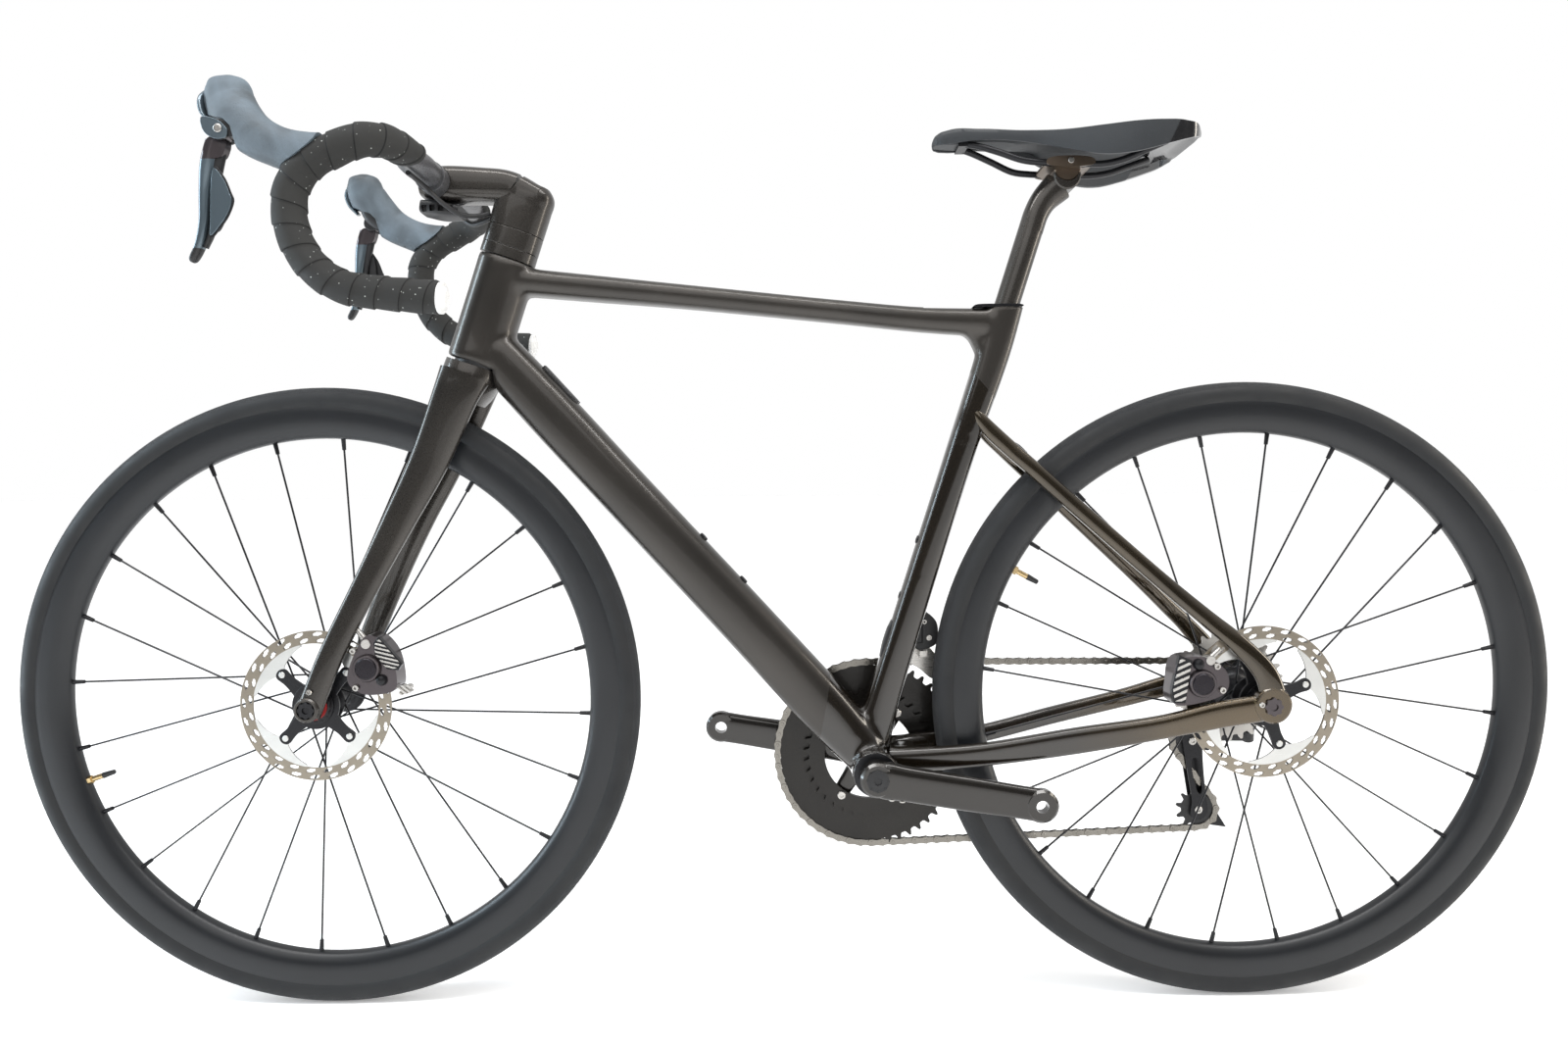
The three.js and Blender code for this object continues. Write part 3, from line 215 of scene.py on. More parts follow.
def half_space(tree, normal, point, softness=0.0004):
    """One where a place is on the normal's side of a plane through the point (metres), else zero."""
    offset = float(np.dot(normal, point))
    return ranged(tree, reach_along(tree, normal), offset - softness, offset + softness, 0.0, 1.0)


def frame_paint():
    """Satin warm grey at the front, turning to gloss black behind two slanted lines."""
    material, tree, shader = start("frame_paint", (0.07, 0.06, 0.05), 0.4, 0.6)
    behind_down_line = half_space(tree, (-0.984, 0, -0.179), (-0.042, 0, 0.3285))
    below_seat_line = half_space(tree, (0.754, 0, -0.656), (-0.214, 0, 0.6755))
    below_top_tube = half_space(tree, (0, 0, -1), (0, 0, 0.7))
    gloss = computed(tree, "MULTIPLY", behind_down_line, below_seat_line)
    gloss = computed(tree, "MULTIPLY", gloss, below_top_tube)
    slow = noise(tree, 9.0, 2.0)
    flake = noise(tree, 2600.0, 1.0)
    satin = blend_color(tree, slow, (0.032, 0.029, 0.026), (0.066, 0.059, 0.052))
    black = blend_color(tree, slow, (0.010, 0.0075, 0.005), (0.019, 0.014, 0.009))
    feed(
        tree, shader,
        Base_Color=blend_color(tree, gloss, satin, black),
        Roughness=ranged(tree, gloss, 0, 1, 0.30, 0.09),
        Metallic=ranged(tree, gloss, 0, 1, 0.70, 0.4),
        Coat_Weight=ranged(tree, gloss, 0, 1, 0.35, 1.0),
    )
    shader.inputs["Coat Roughness"].default_value = 0.08
    relief(tree, shader, flake, 0.000003, soft_corners(tree, 0.006))
    return material


def bronze_gloss():
    """Gloss black that turns bronze towards the rear axle."""
    material, tree, shader = start("bronze_gloss", (0.02, 0.016, 0.012), 0.14, 0.5)
    tail = ranged(tree, split(tree)["X"], -0.30, -0.44, 0.0, 1.0)
    slow = noise(tree, 9.0, 2.0)
    fine = noise(tree, 1500.0, 2.0)
    black = blend_color(tree, slow, (0.012, 0.009, 0.006), (0.022, 0.016, 0.010))
    bronze = blend_color(tree, slow, (0.026, 0.018, 0.010), (0.110, 0.078, 0.040))
    feed(
        tree, shader,
        Base_Color=blend_color(tree, tail, black, bronze),
        Roughness=ranged(tree, fine, 0.3, 0.7, 0.10, 0.22),
        Metallic=ranged(tree, tail, 0, 1, 0.4, 0.9),
    )
    shader.inputs["Coat Weight"].default_value = 1.0
    shader.inputs["Coat Roughness"].default_value = 0.05
    relief(tree, shader, fine, 0.000008, soft_corners(tree, 0.004))
    return material


def tyre_rubber():
    """Smooth casing with a file-cut tread band; the surface runs along u (metres) and round v."""
    material, tree, shader = start("tyre_rubber", (0.02, 0.02, 0.022), 0.7, 0.0)
    files = texture(tree, "ShaderNodeTexWave", 1.0, "UV", stretch=(420.0, 60.0, 1.0), Distortion=0.0)
    files.wave_type, files.bands_direction = "BANDS", "DIAGONAL"
    across = split(tree, "UV")["Y"]
    near = ranged(tree, across, 0.30, 0.34, 0.0, 1.0)
    far = ranged(tree, across, 0.70, 0.66, 0.0, 1.0)
    tread = computed(tree, "MULTIPLY", computed(tree, "MULTIPLY", near, far), files.outputs["Fac"])
    slow = noise(tree, 30.0, 3.0)
    tone = blend_color(tree, slow, (0.006, 0.0065, 0.007), (0.017, 0.018, 0.020))
    color = blend_color(tree, tread, tone, (0.034, 0.036, 0.040))
    feed(tree, shader, Base_Color=color, Roughness=ranged(tree, slow, 0.3, 0.7, 0.58, 0.8))
    relief(tree, shader, tread, 0.0003)
    return material


def bar_cork():
    """Dark cork with fine pale flecks and a dark seam at each turn of the winding."""
    material, tree, shader = start("bar_cork", (0.03, 0.03, 0.034), 0.85, 0.0)
    slow = noise(tree, 60.0, 4.0)
    cells = texture(tree, "ShaderNodeTexVoronoi", 260.0).outputs["Distance"]
    fleck = ranged(tree, cells, 0.18, 0.10, 0.0, 1.0)
    some = ranged(tree, noise(tree, 160.0, 1.0), 0.54, 0.60, 0.0, 1.0)
    tone = blend_color(tree, slow, (0.012, 0.012, 0.012), (0.036, 0.036, 0.034))
    flecked = blend_color(tree, computed(tree, "MULTIPLY", fleck, some), tone, (0.55, 0.58, 0.55))
    turn = computed(tree, "FRACT", reach_along(tree, (1 / (TAPE_TURN * MM), 1.0, 0.0), "UV"))
    seam = ranged(tree, turn, 0.955, 0.97, 0.0, 1.0)
    feed(
        tree, shader,
        Base_Color=blend_color(tree, seam, flecked, (0.003, 0.003, 0.003)),
        Roughness=ranged(tree, slow, 0.3, 0.7, 0.75, 0.95),
    )
    relief(tree, shader, noise(tree, 1200.0, 2.0), 0.00008)
    return material


def hood_rubber():
    """Blue-grey rubber, worn in clouds, with small dimples on its rear part."""
    material, tree, shader = start("hood_rubber", (0.15, 0.19, 0.22), 0.6, 0.0)
    slow = noise(tree, 22.0, 4.0, Distortion=0.6)
    worn = ranged(tree, slow, 0.32, 0.70, 0.0, 1.0)
    tone = blend_color(tree, worn, (0.052, 0.064, 0.073), (0.150, 0.190, 0.225))
    cells = texture(tree, "ShaderNodeTexVoronoi", 520.0).outputs["Distance"]
    dimple = ranged(tree, cells, 0.2, 0.5, 1.0, 0.0)
    rear = half_space(tree, (-1, 0, 0), (0.497, 0, 0), softness=0.004)
    feed(tree, shader, Base_Color=tone, Roughness=ranged(tree, slow, 0.3, 0.7, 0.5, 0.68))
    relief(tree, shader, computed(tree, "MULTIPLY", dimple, rear), 0.00012)
    return material


def saddle_skin():
    """Fine-grained synthetic leather with a gloss tail."""
    material, tree, shader = start("saddle_skin", (0.03, 0.034, 0.038), 0.5, 0.0)
    cells = texture(tree, "ShaderNodeTexVoronoi", 900.0).outputs["Distance"]
    tail = half_space(tree, (-0.9, 0, -0.43), (-0.397, 0, 0.925), softness=0.001)
    soft = blend_color(tree, noise(tree, 20.0, 2.0), (0.014, 0.016, 0.019), (0.030, 0.034, 0.038))
    feed(
        tree, shader,
        Base_Color=blend_color(tree, tail, soft, (0.012, 0.012, 0.013)),
        Roughness=ranged(tree, tail, 0, 1, 0.5, 0.12),
        Coat_Weight=ranged(tree, tail, 0, 1, 0.0, 0.8),
    )
    relief(tree, shader, cells, 0.00006)
    return material


def brushed(name, color, rough):
    """Metal with fine lines left by its finishing."""
    material, tree, shader = start(name, color, rough, 1.0)
    lines = noise(tree, 1.0, 3.0, stretch=(30.0, 900.0, 900.0))
    darker = tuple(c * 0.8 for c in color)
    feed(
        tree, shader,
        Base_Color=blend_color(tree, noise(tree, 40.0, 2.0), darker, color),
        Roughness=ranged(tree, lines, 0.3, 0.7, rough * 0.9, rough * 1.12),
    )
    relief(tree, shader, lines, 0.00002)
    return material


# Each look is a material and the slot that names its kind.
LOOKS = {
    "paint": (frame_paint(), "satin_paint"),
    "gloss": (bronze_gloss(), "gloss_paint"),
    "tyre": (tyre_rubber(), "tyre_rubber"),
    "hood": (hood_rubber(), "hood_rubber"),
    "tape": (bar_cork(), "bar_tape"),
    "saddle": (saddle_skin(), "saddle_cover"),
}
for look, slot_name, name, color, rough in (
    ("steel", "bright_steel", "bright_steel", (0.58, 0.56, 0.53), 0.28),
    ("chain", "bright_steel", "chain_steel", (0.25, 0.235, 0.21), 0.26),
    ("cog", "bright_steel", "cog_steel", (0.50, 0.48, 0.45), 0.3),
    ("brass", "bright_steel", "brass", (0.62, 0.46, 0.24), 0.28),
    ("rotor", "rotor_steel", "rotor_track", (0.30, 0.265, 0.215), 0.33),
    ("lug", "rotor_steel", "rotor_lug", (0.68, 0.68, 0.66), 0.3),
):
    LOOKS[look] = brushed(name, color, rough), slot_name
for look, slot_name, name, color, rough, metal, more in (
    ("satin", "satin_paint", "satin_paint", (0.050, 0.045, 0.040), 0.30, 0.7, dict(coat=0.35, vary=0.35)),
    ("bronze", "gloss_paint", "bronze_paint", (0.050, 0.037, 0.021), 0.15, 0.8,
     dict(coat=1.0, vary=0.5, bump=0.000004, rough_vary=0.03)),
    ("hose", "hose_rubber", "hose_rubber", (0.012, 0.012, 0.013), 0.45, 0.0, {}),
    ("carbon", "carbon", "carbon", (0.008, 0.009, 0.011), 0.36, 0.0, dict(vary=0.4, rough_vary=0.04)),
    ("bar", "carbon", "bar_carbon", (0.10, 0.10, 0.105), 0.3, 0.3, dict(vary=0.2)),
    ("black", "black_metal", "black_metal", (0.014, 0.014, 0.016), 0.32, 0.5, {}),
    ("pewter", "black_metal", "pewter", (0.080, 0.068, 0.072), 0.3, 0.85,
     dict(coat=0.3, vary=0.25, grain=300.0, bump=0.000004, rough_vary=0.012)),
    ("plum", "black_metal", "plum_cap", (0.018, 0.015, 0.019), 0.3, 0.6,
     dict(vary=0.2, grain=400.0, bump=0.00001)),
    ("red", "black_metal", "red_seal", (0.35, 0.02, 0.02), 0.4, 0.0, {}),
    ("alloy", "dark_alloy", "dark_alloy", (0.022, 0.019, 0.016), 0.2, 0.6,
     dict(coat=0.7, vary=0.3, bump=0.000006)),
    ("ring", "dark_alloy", "ring_alloy", (0.016, 0.014, 0.012), 0.33, 0.5,
     dict(coat=0.1, vary=0.35, bump=0.000008)),
    ("clamp", "dark_alloy", "clamp_bronze", (0.13, 0.10, 0.075), 0.35, 0.85, {}),
    ("plastic", "black_plastic", "black_plastic", (0.012, 0.012, 0.013), 0.42, 0.0, {}),
    ("lever", "lever_paint", "lever_lacquer", (0.115, 0.150, 0.175), 0.30, 0.7,
     dict(coat=0.4, grain=90.0, vary=0.20, bump=0.000002, rough_vary=0.006)),
    ("white", "white_plastic", "white_plastic", (0.78, 0.78, 0.77), 0.3, 0.0, dict(vary=0.04)),
):
    LOOKS[look] = surface(name, color, rough, metal, **more), slot_name


# ---------------------------------------------------------------- shapes
# A shape is its corners, its faces and each face's surface coordinates.
def merge(*shapes):
    """Several shapes as one, without joining their skins."""
    corners, faces, marks, start_at = [], [], [], 0
    for points, polygons, uvs in shapes:
        corners.append(points)
        faces += [tuple(i + start_at for i in polygon) for polygon in polygons]
        marks += uvs
        start_at += len(points)
    return np.vstack(corners), faces, marks


def plain(points, polygons):
    return np.asarray(points, float), polygons, [((0.0, 0.0),) * len(p) for p in polygons]


def loft(rings, loop=False):
    """A skin over rings; u runs along in metres and v round from 0 to 1."""
    rings = np.asarray(rings, float)
    count, sides = rings.shape[:2]
    middles = rings.mean(axis=1) if not loop else rings[:, 0]
    ahead = np.roll(middles, -1, axis=0) if loop else middles
    gaps = np.linalg.norm((ahead - middles) if loop else np.diff(middles, axis=0), axis=1)
    along = np.concatenate([[0], np.cumsum(gaps)]) * MM
    faces, marks = [], []
    for r in range(count if loop else count - 1):
        q = (r + 1) % count
        for k in range(sides):
            j = (k + 1) % sides
            faces.append((r * sides + k, r * sides + j, q * sides + j, q * sides + k))
            v0, v1 = k / sides, (k + 1) / sides
            marks.append(((along[r], v0), (along[r], v1), (along[r + 1], v1), (along[r + 1], v0)))
    if not loop:
        faces.append(tuple(range(sides))[::-1])
        faces.append(tuple(range((count - 1) * sides, count * sides)))
        marks += [((0.0, 0.0),) * sides] * 2
    return rings.reshape(-1, 3), faces, marks


def between(rows, slopes, i, width, u):
    """Values a share u of the way from row i to the next, on a cubic curve that keeps the slopes."""
    before = (2 * u**3 - 3 * u**2 + 1) * rows[i] + (u**3 - 2 * u**2 + u) * width * slopes[i]
    after = (3 * u**2 - 2 * u**3) * rows[i + 1] + (u**3 - u**2) * width * slopes[i + 1]
    return before + after


def spline(rows, steps):
    """A smooth curve through rows of numbers whose first three are a place."""
    rows = np.asarray(rows, float)
    gap = np.linalg.norm(np.diff(rows[:, :3], axis=0), axis=1)
    at = np.concatenate([[0], np.cumsum(np.sqrt(gap))])
    slope = np.gradient(rows, at, axis=0)
    t = np.linspace(0, at[-1], steps)
    i = np.clip(np.searchsorted(at, t, side="right") - 1, 0, len(rows) - 2)
    width = (at[i + 1] - at[i])[:, None]
    u = (t - at[i])[:, None] / width
    return between(rows, slope, i, width, u)


def unit(v):
    return v / np.linalg.norm(v, axis=-1, keepdims=True)


def rounded(power, sides):
    """A section's two shares: a circle for power 2, squarer as the power grows."""
    turn = 2 * math.pi * (np.arange(sides) + 0.5) / sides
    return [np.sign(share) * np.abs(share) ** (2 / power) for share in (np.cos(turn), np.sin(turn))]


def swept(path, wide, deep, wide_sizes, deep_sizes):
    """A skin over one ring at each place of a path; the sizes are a row for each ring."""
    return loft(path[:, None] + wide[:, None] * wide_sizes[:, :, None]
                + deep[:, None] * deep_sizes[:, :, None])


def tube(stations, power, sides, steps=0):
    """A tube of changing section; stations are (x, y, z, half width, half depth)."""
    rows = spline(stations, steps or 10 * (len(stations) - 1) + 1)
    path = rows[:, :3]
    along = unit(np.gradient(path, axis=0))
    wide = unit(AXIS_Y - (along @ AXIS_Y)[:, None] * along)
    across, through = rounded(power, sides)
    sizes = np.outer(rows[:, 3], across), np.outer(rows[:, 4], through)
    return swept(path, wide, np.cross(along, wide), *sizes)


def carried(path):
    """Directions across a path that turn as little as possible."""
    along = unit(np.gradient(path, axis=0))
    wide = np.array([0.0, 0.0, 1.0])
    rows = []
    for a in along:
        wide = unit(wide - a.dot(wide) * a)
        rows.append(wide)
    rows = np.array(rows)
    return rows, np.cross(along, rows)


def pipe(points, radius, sides, steps):
    """A round bar along a smooth curve through the points."""
    path = spline(points, steps)
    across, through = rounded(2, sides)
    size = np.full(steps, radius)
    return swept(path, *carried(path), np.outer(size, across), np.outer(size, through))


def square_to(direction):
    """Two directions at right angles to this one and to each other."""
    helper = np.array([0.0, 0.0, 1.0]) if abs(direction[2]) < 0.9 else np.array([1.0, 0.0, 0.0])
    wide = unit(np.cross(direction, helper))
    return wide, np.cross(direction, wide)


def rod(start_at, end_at, radius, end_radius=None, sides=24, edge=0.25):
    """A straight rod with softened ends."""
    a, b = np.asarray(start_at, float), np.asarray(end_at, float)
    along = unit(b - a)
    wide, deep = square_to(along)
    last = radius if end_radius is None else end_radius
    c, s = rounded(2, sides)
    circle = wide * c[:, None] + deep * s[:, None]
    edge = min(edge, radius * 0.3, last * 0.3, np.linalg.norm(b - a) * 0.3)
    near, far = along * edge, b - along * edge
    return loft([a + circle * (radius - edge), a + near + circle * radius, far + circle * last,
                 b + circle * (last - edge)])


def cross_rod(x, z, y0, y1, radius, end_radius=None, sides=24, edge=0.25):
    return rod((x, y0, z), (x, y1, z), radius, end_radius, sides, edge)


def polar(radius, angle):
    return radius * math.cos(angle), radius * math.sin(angle)


def turned(profile, centre, segments):
    """A solid of revolution about an axis along Y through the centre; the profile is (radius, y)."""
    rings = []
    for k in range(segments):
        c, s = polar(1.0, 2 * math.pi * k / segments)
        rings.append([(centre[0] + r * c, centre[1] + y, centre[2] + r * s) for r, y in profile])
    return loft(rings, loop=True)


def drum(inner, outer, y0, y1, centre, segments):
    return turned([(inner, y0), (outer, y0), (outer, y1), (inner, y1)], centre, segments)


def slab(outline, shift):
    """A flat outline moved along a vector, as a solid."""
    first = np.asarray(outline, float)
    second = first + np.asarray(shift, float)
    n = len(first)
    faces = [tuple(range(n))[::-1], tuple(range(n, 2 * n))]
    faces += [(k, (k + 1) % n, n + (k + 1) % n, n + k) for k in range(n)]
    return plain(np.vstack([first, second]), faces)


def plate(outline, y0, y1):
    return slab([(x, y0, z) for x, z in outline], (0, y1 - y0, 0))


def smooth_outline(points, per):
    """A closed smooth curve through points, for outlines."""
    p = np.asarray(points, float)
    rows = []
    for i in range(len(p)):
        a, b, c, d = p[i - 1], p[i], p[(i + 1) % len(p)], p[(i + 2) % len(p)]
        for t in np.arange(per) / per:
            rows.append(0.5 * (2 * b + (c - a) * t + (2 * a - 5 * b + 4 * c - d) * t**2
                               + (3 * b - a - 3 * c + d) * t**3))
    return np.array(rows)


def block(x0, x1, y0, y1, z0, z1):
    return plate([(x0, z0), (x1, z0), (x1, z1), (x0, z1)], y0, y1)


def washer(outer, inner, y0, y1, centre):
    """A flat ring between an outer outline and an inner one with as many points, given as offsets."""
    rings = []
    for edge, y in ((outer, y0), (outer, y1), (inner, y1), (inner, y0)):
        rings.append([(centre[0] + x, centre[1] + y, centre[2] + z) for x, z in edge])
    return loft(np.stack(rings, axis=1), loop=True)


# One tooth and the gap after it: shares of a tooth's pitch, and how far above the pitch circle.
TOOTH = ((-0.50, -3.9), (-0.34, -3.9), (-0.24, -2.6), (-0.15, 0.6), (-0.07, 2.4), (0.07, 2.4), (0.15, 0.6),
         (0.24, -2.6), (0.34, -3.9))


def sprocket(teeth, thickness, inner, centre, turn):
    """A toothed ring; inner is the radius of its hole."""
    pitch, half = pitch_radius(teeth), thickness / 2
    outer, hole = [], []
    for k in range(teeth):
        for share, rise in TOOTH:
            angle = turn + 2 * math.pi * (k + share) / teeth
            outer.append(polar(pitch + rise, angle))
            hole.append(polar(inner, angle))
    return washer(outer, hole, -half, half, centre)


def steered(ahead, up, left=0.0):
    forward = np.array([math.sin(HEAD_ANGLE), 0, math.cos(HEAD_ANGLE)])
    upward = np.array([-math.cos(HEAD_ANGLE), 0, math.sin(HEAD_ANGLE)])
    return FRONT_AXLE + forward * (ahead - RAKE) + upward * up + AXIS_Y * left


def mirrored(shape):
    corners, faces, marks = shape
    return corners * np.array([1, -1, 1]), [f[::-1] for f in faces], [m[::-1] for m in marks]


def turn_about(shape, centre, degrees):
    """Turns a shape about an axis along Y through the centre, from +X towards +Z."""
    corners, faces, marks = shape
    a = math.radians(degrees)
    d = corners - centre
    moved = np.stack([d[:, 0] * math.cos(a) - d[:, 2] * math.sin(a), d[:, 1],
                      d[:, 0] * math.sin(a) + d[:, 2] * math.cos(a)], axis=1)
    return moved + centre, faces, marks


def around(shape, centre, count, first=0.0):
    """Copies of a shape spread evenly about an axis along Y through the centre."""
    return merge(*[turn_about(shape, centre, first + 360 * k / count) for k in range(count)])


def to_mesh(name, shape):
    corners, faces, marks = shape
    mesh = bpy.data.meshes.new(name)
    mesh.from_pydata((corners * MM).tolist(), [], faces)
    layer = mesh.uv_layers.new(name="UVMap")
    layer.data.foreach_set("uv", [c for face in marks for mark in face for c in mark])
    work = bmesh.new()
    work.from_mesh(mesh)
    bmesh.ops.recalc_face_normals(work, faces=work.faces)
    work.to_mesh(mesh)
    work.free()
    return mesh


def linked(name, data):
    thing = bpy.data.objects.new(name, data)
    bpy.context.collection.objects.link(thing)
    return thing


def modified(base, *helpers):
    """The shape that an object's modifiers make; the object and its helpers are removed."""
    made = base.evaluated_get(bpy.context.evaluated_depsgraph_get()).to_mesh()
    corners = np.array([v.co[:] for v in made.vertices]) / MM
    faces = [tuple(p.vertices) for p in made.polygons]
    for thing in (base, *helpers):
        bpy.data.objects.remove(thing, do_unlink=True)
    return plain(corners, faces)


def combined(operation, first, *others):
    """Boolean of whole shapes: UNION, DIFFERENCE or INTERSECT."""
    base = linked("base", to_mesh("base", first))
    helpers = []
    for other in others:
        tool = linked("tool", to_mesh("tool", other))
        helpers.append(tool)
        step = base.modifiers.new("step", "BOOLEAN")
        step.operation, step.solver, step.object = operation, "EXACT", tool
    return modified(base, *helpers)


def union(first, *others):
    return combined("UNION", first, *others)


def carve(first, *others):
    return combined("DIFFERENCE", first, *others)


def welded(shape, cell, rounds):
    """One even skin over joined shapes, relaxed so that inside corners fill like welds."""
    base = linked("base", to_mesh("base", shape))
    skin = base.modifiers.new("skin", "REMESH")
    skin.mode, skin.voxel_size = "VOXEL", cell * MM
    relax = base.modifiers.new("relax", "SMOOTH")
    relax.factor, relax.iterations = 0.5, rounds
    return modified(base)


def show(name, shape, look, body, replaces="", bevel=0.0, sharp=35):
    """Puts a shape in the scene with a look, riding on a body."""
    material, slot = LOOKS[look]
    mesh = to_mesh(name, shape)
    mesh.materials.append(material)
    mesh.polygons.foreach_set("use_smooth", [True] * len(mesh.polygons))
    mesh.set_sharp_from_angle(angle=math.radians(sharp))
    thing = linked(name, mesh)
    if bevel:
        edges = thing.modifiers.new("edges", "BEVEL")
        edges.width, edges.segments, edges.limit_method = bevel * MM, 2, "ANGLE"
        edges.angle_limit = math.radians(35)
    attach(thing, body)
    if replaces:
        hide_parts(replaces)
    return thing


def show_side(side, name, shape, look, replaces="", part="", **more):
    """Shows a left-hand shape on one side; part is what moves it there, or the steering does."""
    body = f"{side}_{part}" if part else "steering"
    node = f"{side}_{replaces}" if replaces else ""
    show(f"{side}_{name}", shape if side == "left" else mirrored(shape), look, body, node, **more)


HEAD_SIDES = 24
# Each ring of a bolt head: its share of the radius and of the height, and whether it is hexagonal.
HEAD_RINGS = ((1.0, 0, False), (1.0, 0.75, False), (0.88, 1.0, False), (0.55, 1.0, True), (0.528, 0.35, True))
HEXAGON = [0.87 / math.cos(math.radians((15 * k) % 60 - 30)) for k in range(HEAD_SIDES)]


def screw_head(centre, out, radius, height):
    """A round bolt head with a hexagonal socket, standing out from a point."""
    out = unit(np.asarray(out, float))
    wide, deep = square_to(out)
    rings = []
    for size, lift, flat in HEAD_RINGS:
        ring = []
        for k in range(HEAD_SIDES):
            x, z = polar(radius * size * (HEXAGON[k] if flat else 1), 2 * math.pi * k / HEAD_SIDES)
            ring.append(np.asarray(centre, float) + wide * x + deep * z + out * height * lift)
        rings.append(ring)
    return loft(rings)


# ---------------------------------------------------------------- frame
SEAT_TUBE = [(-88, 0, 268, 20, 21), (-110, 0, 345, 17, 18), (-152, 0, 480, 16, 16.5), (-194, 0, 612, 16, 16),
             (-228, 0, 715, 16.5, 18), (-242, 0, 770, 17, 19)]
POST_BOTTOM, POST_TOP = np.array([-194.0, 0, 612]), np.array([-271.0, 0, 855])
POST_RADIUS, BORE_GAP = 13.2, 0.7
post_bore = rod(POST_BOTTOM, POST_TOP, POST_RADIUS + BORE_GAP, sides=48)


def station(place, wide, deep):
    """A row for a tube: a place, and the tube's half width and half depth there."""
    return (*place, wide, deep)


def frame_front():
    head = tube([station(steered(3, HEAD_BOTTOM), 28, 31), station(steered(3, HEAD_BOTTOM + 30), 25, 31),
                 station(steered(3, HEAD_TOP - 30), 24, 31), station(steered(3, HEAD_TOP), 25, 31)], 2.5, 40)
    top = tube([(306, 0, 792, 22, 15), (212, 0, 783, 20, 14), (106, 0, 773, 17.5, 12.8),
                (-64, 0, 755.5, 16, 12.6), (-150, 0, 747, 15.5, 13.5), (-232, 0, 743, 15.5, 15.5)], 2.8, 40)
    down = tube([(312, 0, 714, 24, 26), (250, 0, 646, 24, 28), (180, 0, 569, 24, 28), (44, 0, 420, 24, 29),
                 (-51, 0, 315, 27, 29), (-90, 0, 272, 30, 25)], 2.8, 40)
    seat = tube(SEAT_TUBE, 2.8, 40)
    shell = cross_rod(BRACKET[0], BRACKET[2], -43, 43, 25, sides=64, edge=1)
    corner = plate([(-207, 712), (-225, 712), (-225, 736), (-178, 737), (-192, 733), (-201, 725)], -11, 11)
    whole = welded(union(head, top, down, seat, shell, corner), 2.0, 30)
    crown = rod(steered(0, HEAD_BOTTOM - 90), steered(0, HEAD_BOTTOM), 31.5, sides=64, edge=0)
    lid = block(-300, -150, -40, 40, 758.5, 810)
    slot = block(-228, -205, -8, 8, 728, 770)
    shell_bore = cross_rod(BRACKET[0], BRACKET[2], -50, 50, SHELL_BORE, sides=64)
    return carve(whole, crown, lid, post_bore, slot, shell_bore)


show("frame_front", frame_front(), "paint", "frame", "front_triangle", sharp=40)
show("crown_seal", rod(steered(0, HEAD_BOTTOM - 5), steered(0, HEAD_BOTTOM + 2), 26, sides=48), "plastic",
     "steering")

def on_down_tube(x, lift):
    """A point on the down tube's upper face at an X, and the direction out of that face."""
    high, low = np.array([250.0, 0, 646.0]), np.array([44.0, 0, 420.0])
    middle = high + (low - high) * (high[0] - x) / (high[0] - low[0])
    out = unit(np.cross(AXIS_Y, low - high))
    return middle + out * (28.5 + lift), out


def port_cover():
    rows = []
    for x, wide in ((281, 6), (278, 9), (262, 9.5), (248, 9), (245, 6)):
        place, _ = on_down_tube(x, lift=-1.0)
        rows.append(station(place, wide, 2.6))
    return tube(rows, 4, 24)


show("port_cover", port_cover(), "plastic", "frame")
bottle_bolts = [screw_head(*on_down_tube(x, lift=-0.6), 5.0, 3.0) for x in (111, 68)]
for x, z in ((-146.5, 508), (-127.5, 447), (-114, 409)):
    bottle_bolts.append(screw_head((x, 0, z), (0.954, 0, 0.3), 4.6, 3.6))
show("bottle_bolts", merge(*bottle_bolts), "black", "frame")
seat_tube_cover = tube([(-117, 0, 420, 7, 1.5), (-113, 0, 408, 8, 3), (-108, 0, 392, 8, 3),
                        (-104, 0, 380, 7, 1.5)], 4, 24)
show("seat_tube_cover", seat_tube_cover, "plastic", "frame")

SEATSTAY = [(-201, 10.5, 654, 3.0, 3.0), (-208, 12.5, 643, 4.4, 6.0), (-222, 14, 626, 5.4, 8.4),
            (-242, 16, 607, 6, 8.6),
        (-264, 20, 587, 6.2, 8.5), (-300, 24.5, 554, 6, 8.5),
        (-345, 32, 513, 6, 8.5), (-400, 43, 463, 6, 8.5), (-440, 57, 427, 6, 9), (-468, 68, 402, 6, 10),
        (-494, 73, 372, 6, 12), (-503, 74, 346, 6, 14)]


def stays():
    stay = tube(SEATSTAY, 2.3, 28)
    bridge = tube([(-245, 0, 602, 22, 3), (-259, 0, 590, 22, 3)], 5, 16)
    return union(stay, mirrored(stay), bridge)


def chain_stays():
    left = tube([(-112, 22, 273, 13, 13), (-150, 28, 274, 9, 13), (-211, 32, 279, 7.5, 12.5),
                 (-307, 47, 297, 7.5, 14), (-394, 59, 314, 7, 12.5), (-449, 67, 328, 6, 14),
                 (-499, 74, 338, 6, 14)], 2.8, 28)
    right = tube([(-112, -22, 273, 13, 12), (-150, -27, 277, 8, 11), (-211, -30, 284, 6.5, 10),
                  (-307, -46, 303, 6.5, 10), (-394, -59, 320, 6.5, 10.5), (-449, -67, 332, 6, 12),
                  (-499, -74, 338, 6, 13)], 2.8, 28)
    yoke = block(-140, -112, -28, 28, 263, 283)
    discs = [cross_rod(-500.5, 340, 68 * side, 80 * side, 19, sides=48, edge=1.5) for side in (1, -1)]
    whole = union(left, right, yoke, *discs)
    wheel = cross_rod(-WHEEL_X, AXLE_Z, -19, 19, TYRE_RADIUS + TYRE_ROOM, sides=96)
    spare = cross_rod(BRACKET[0], BRACKET[2], -60, 60, 25.4, sides=64)
    return carve(whole, wheel, spare)


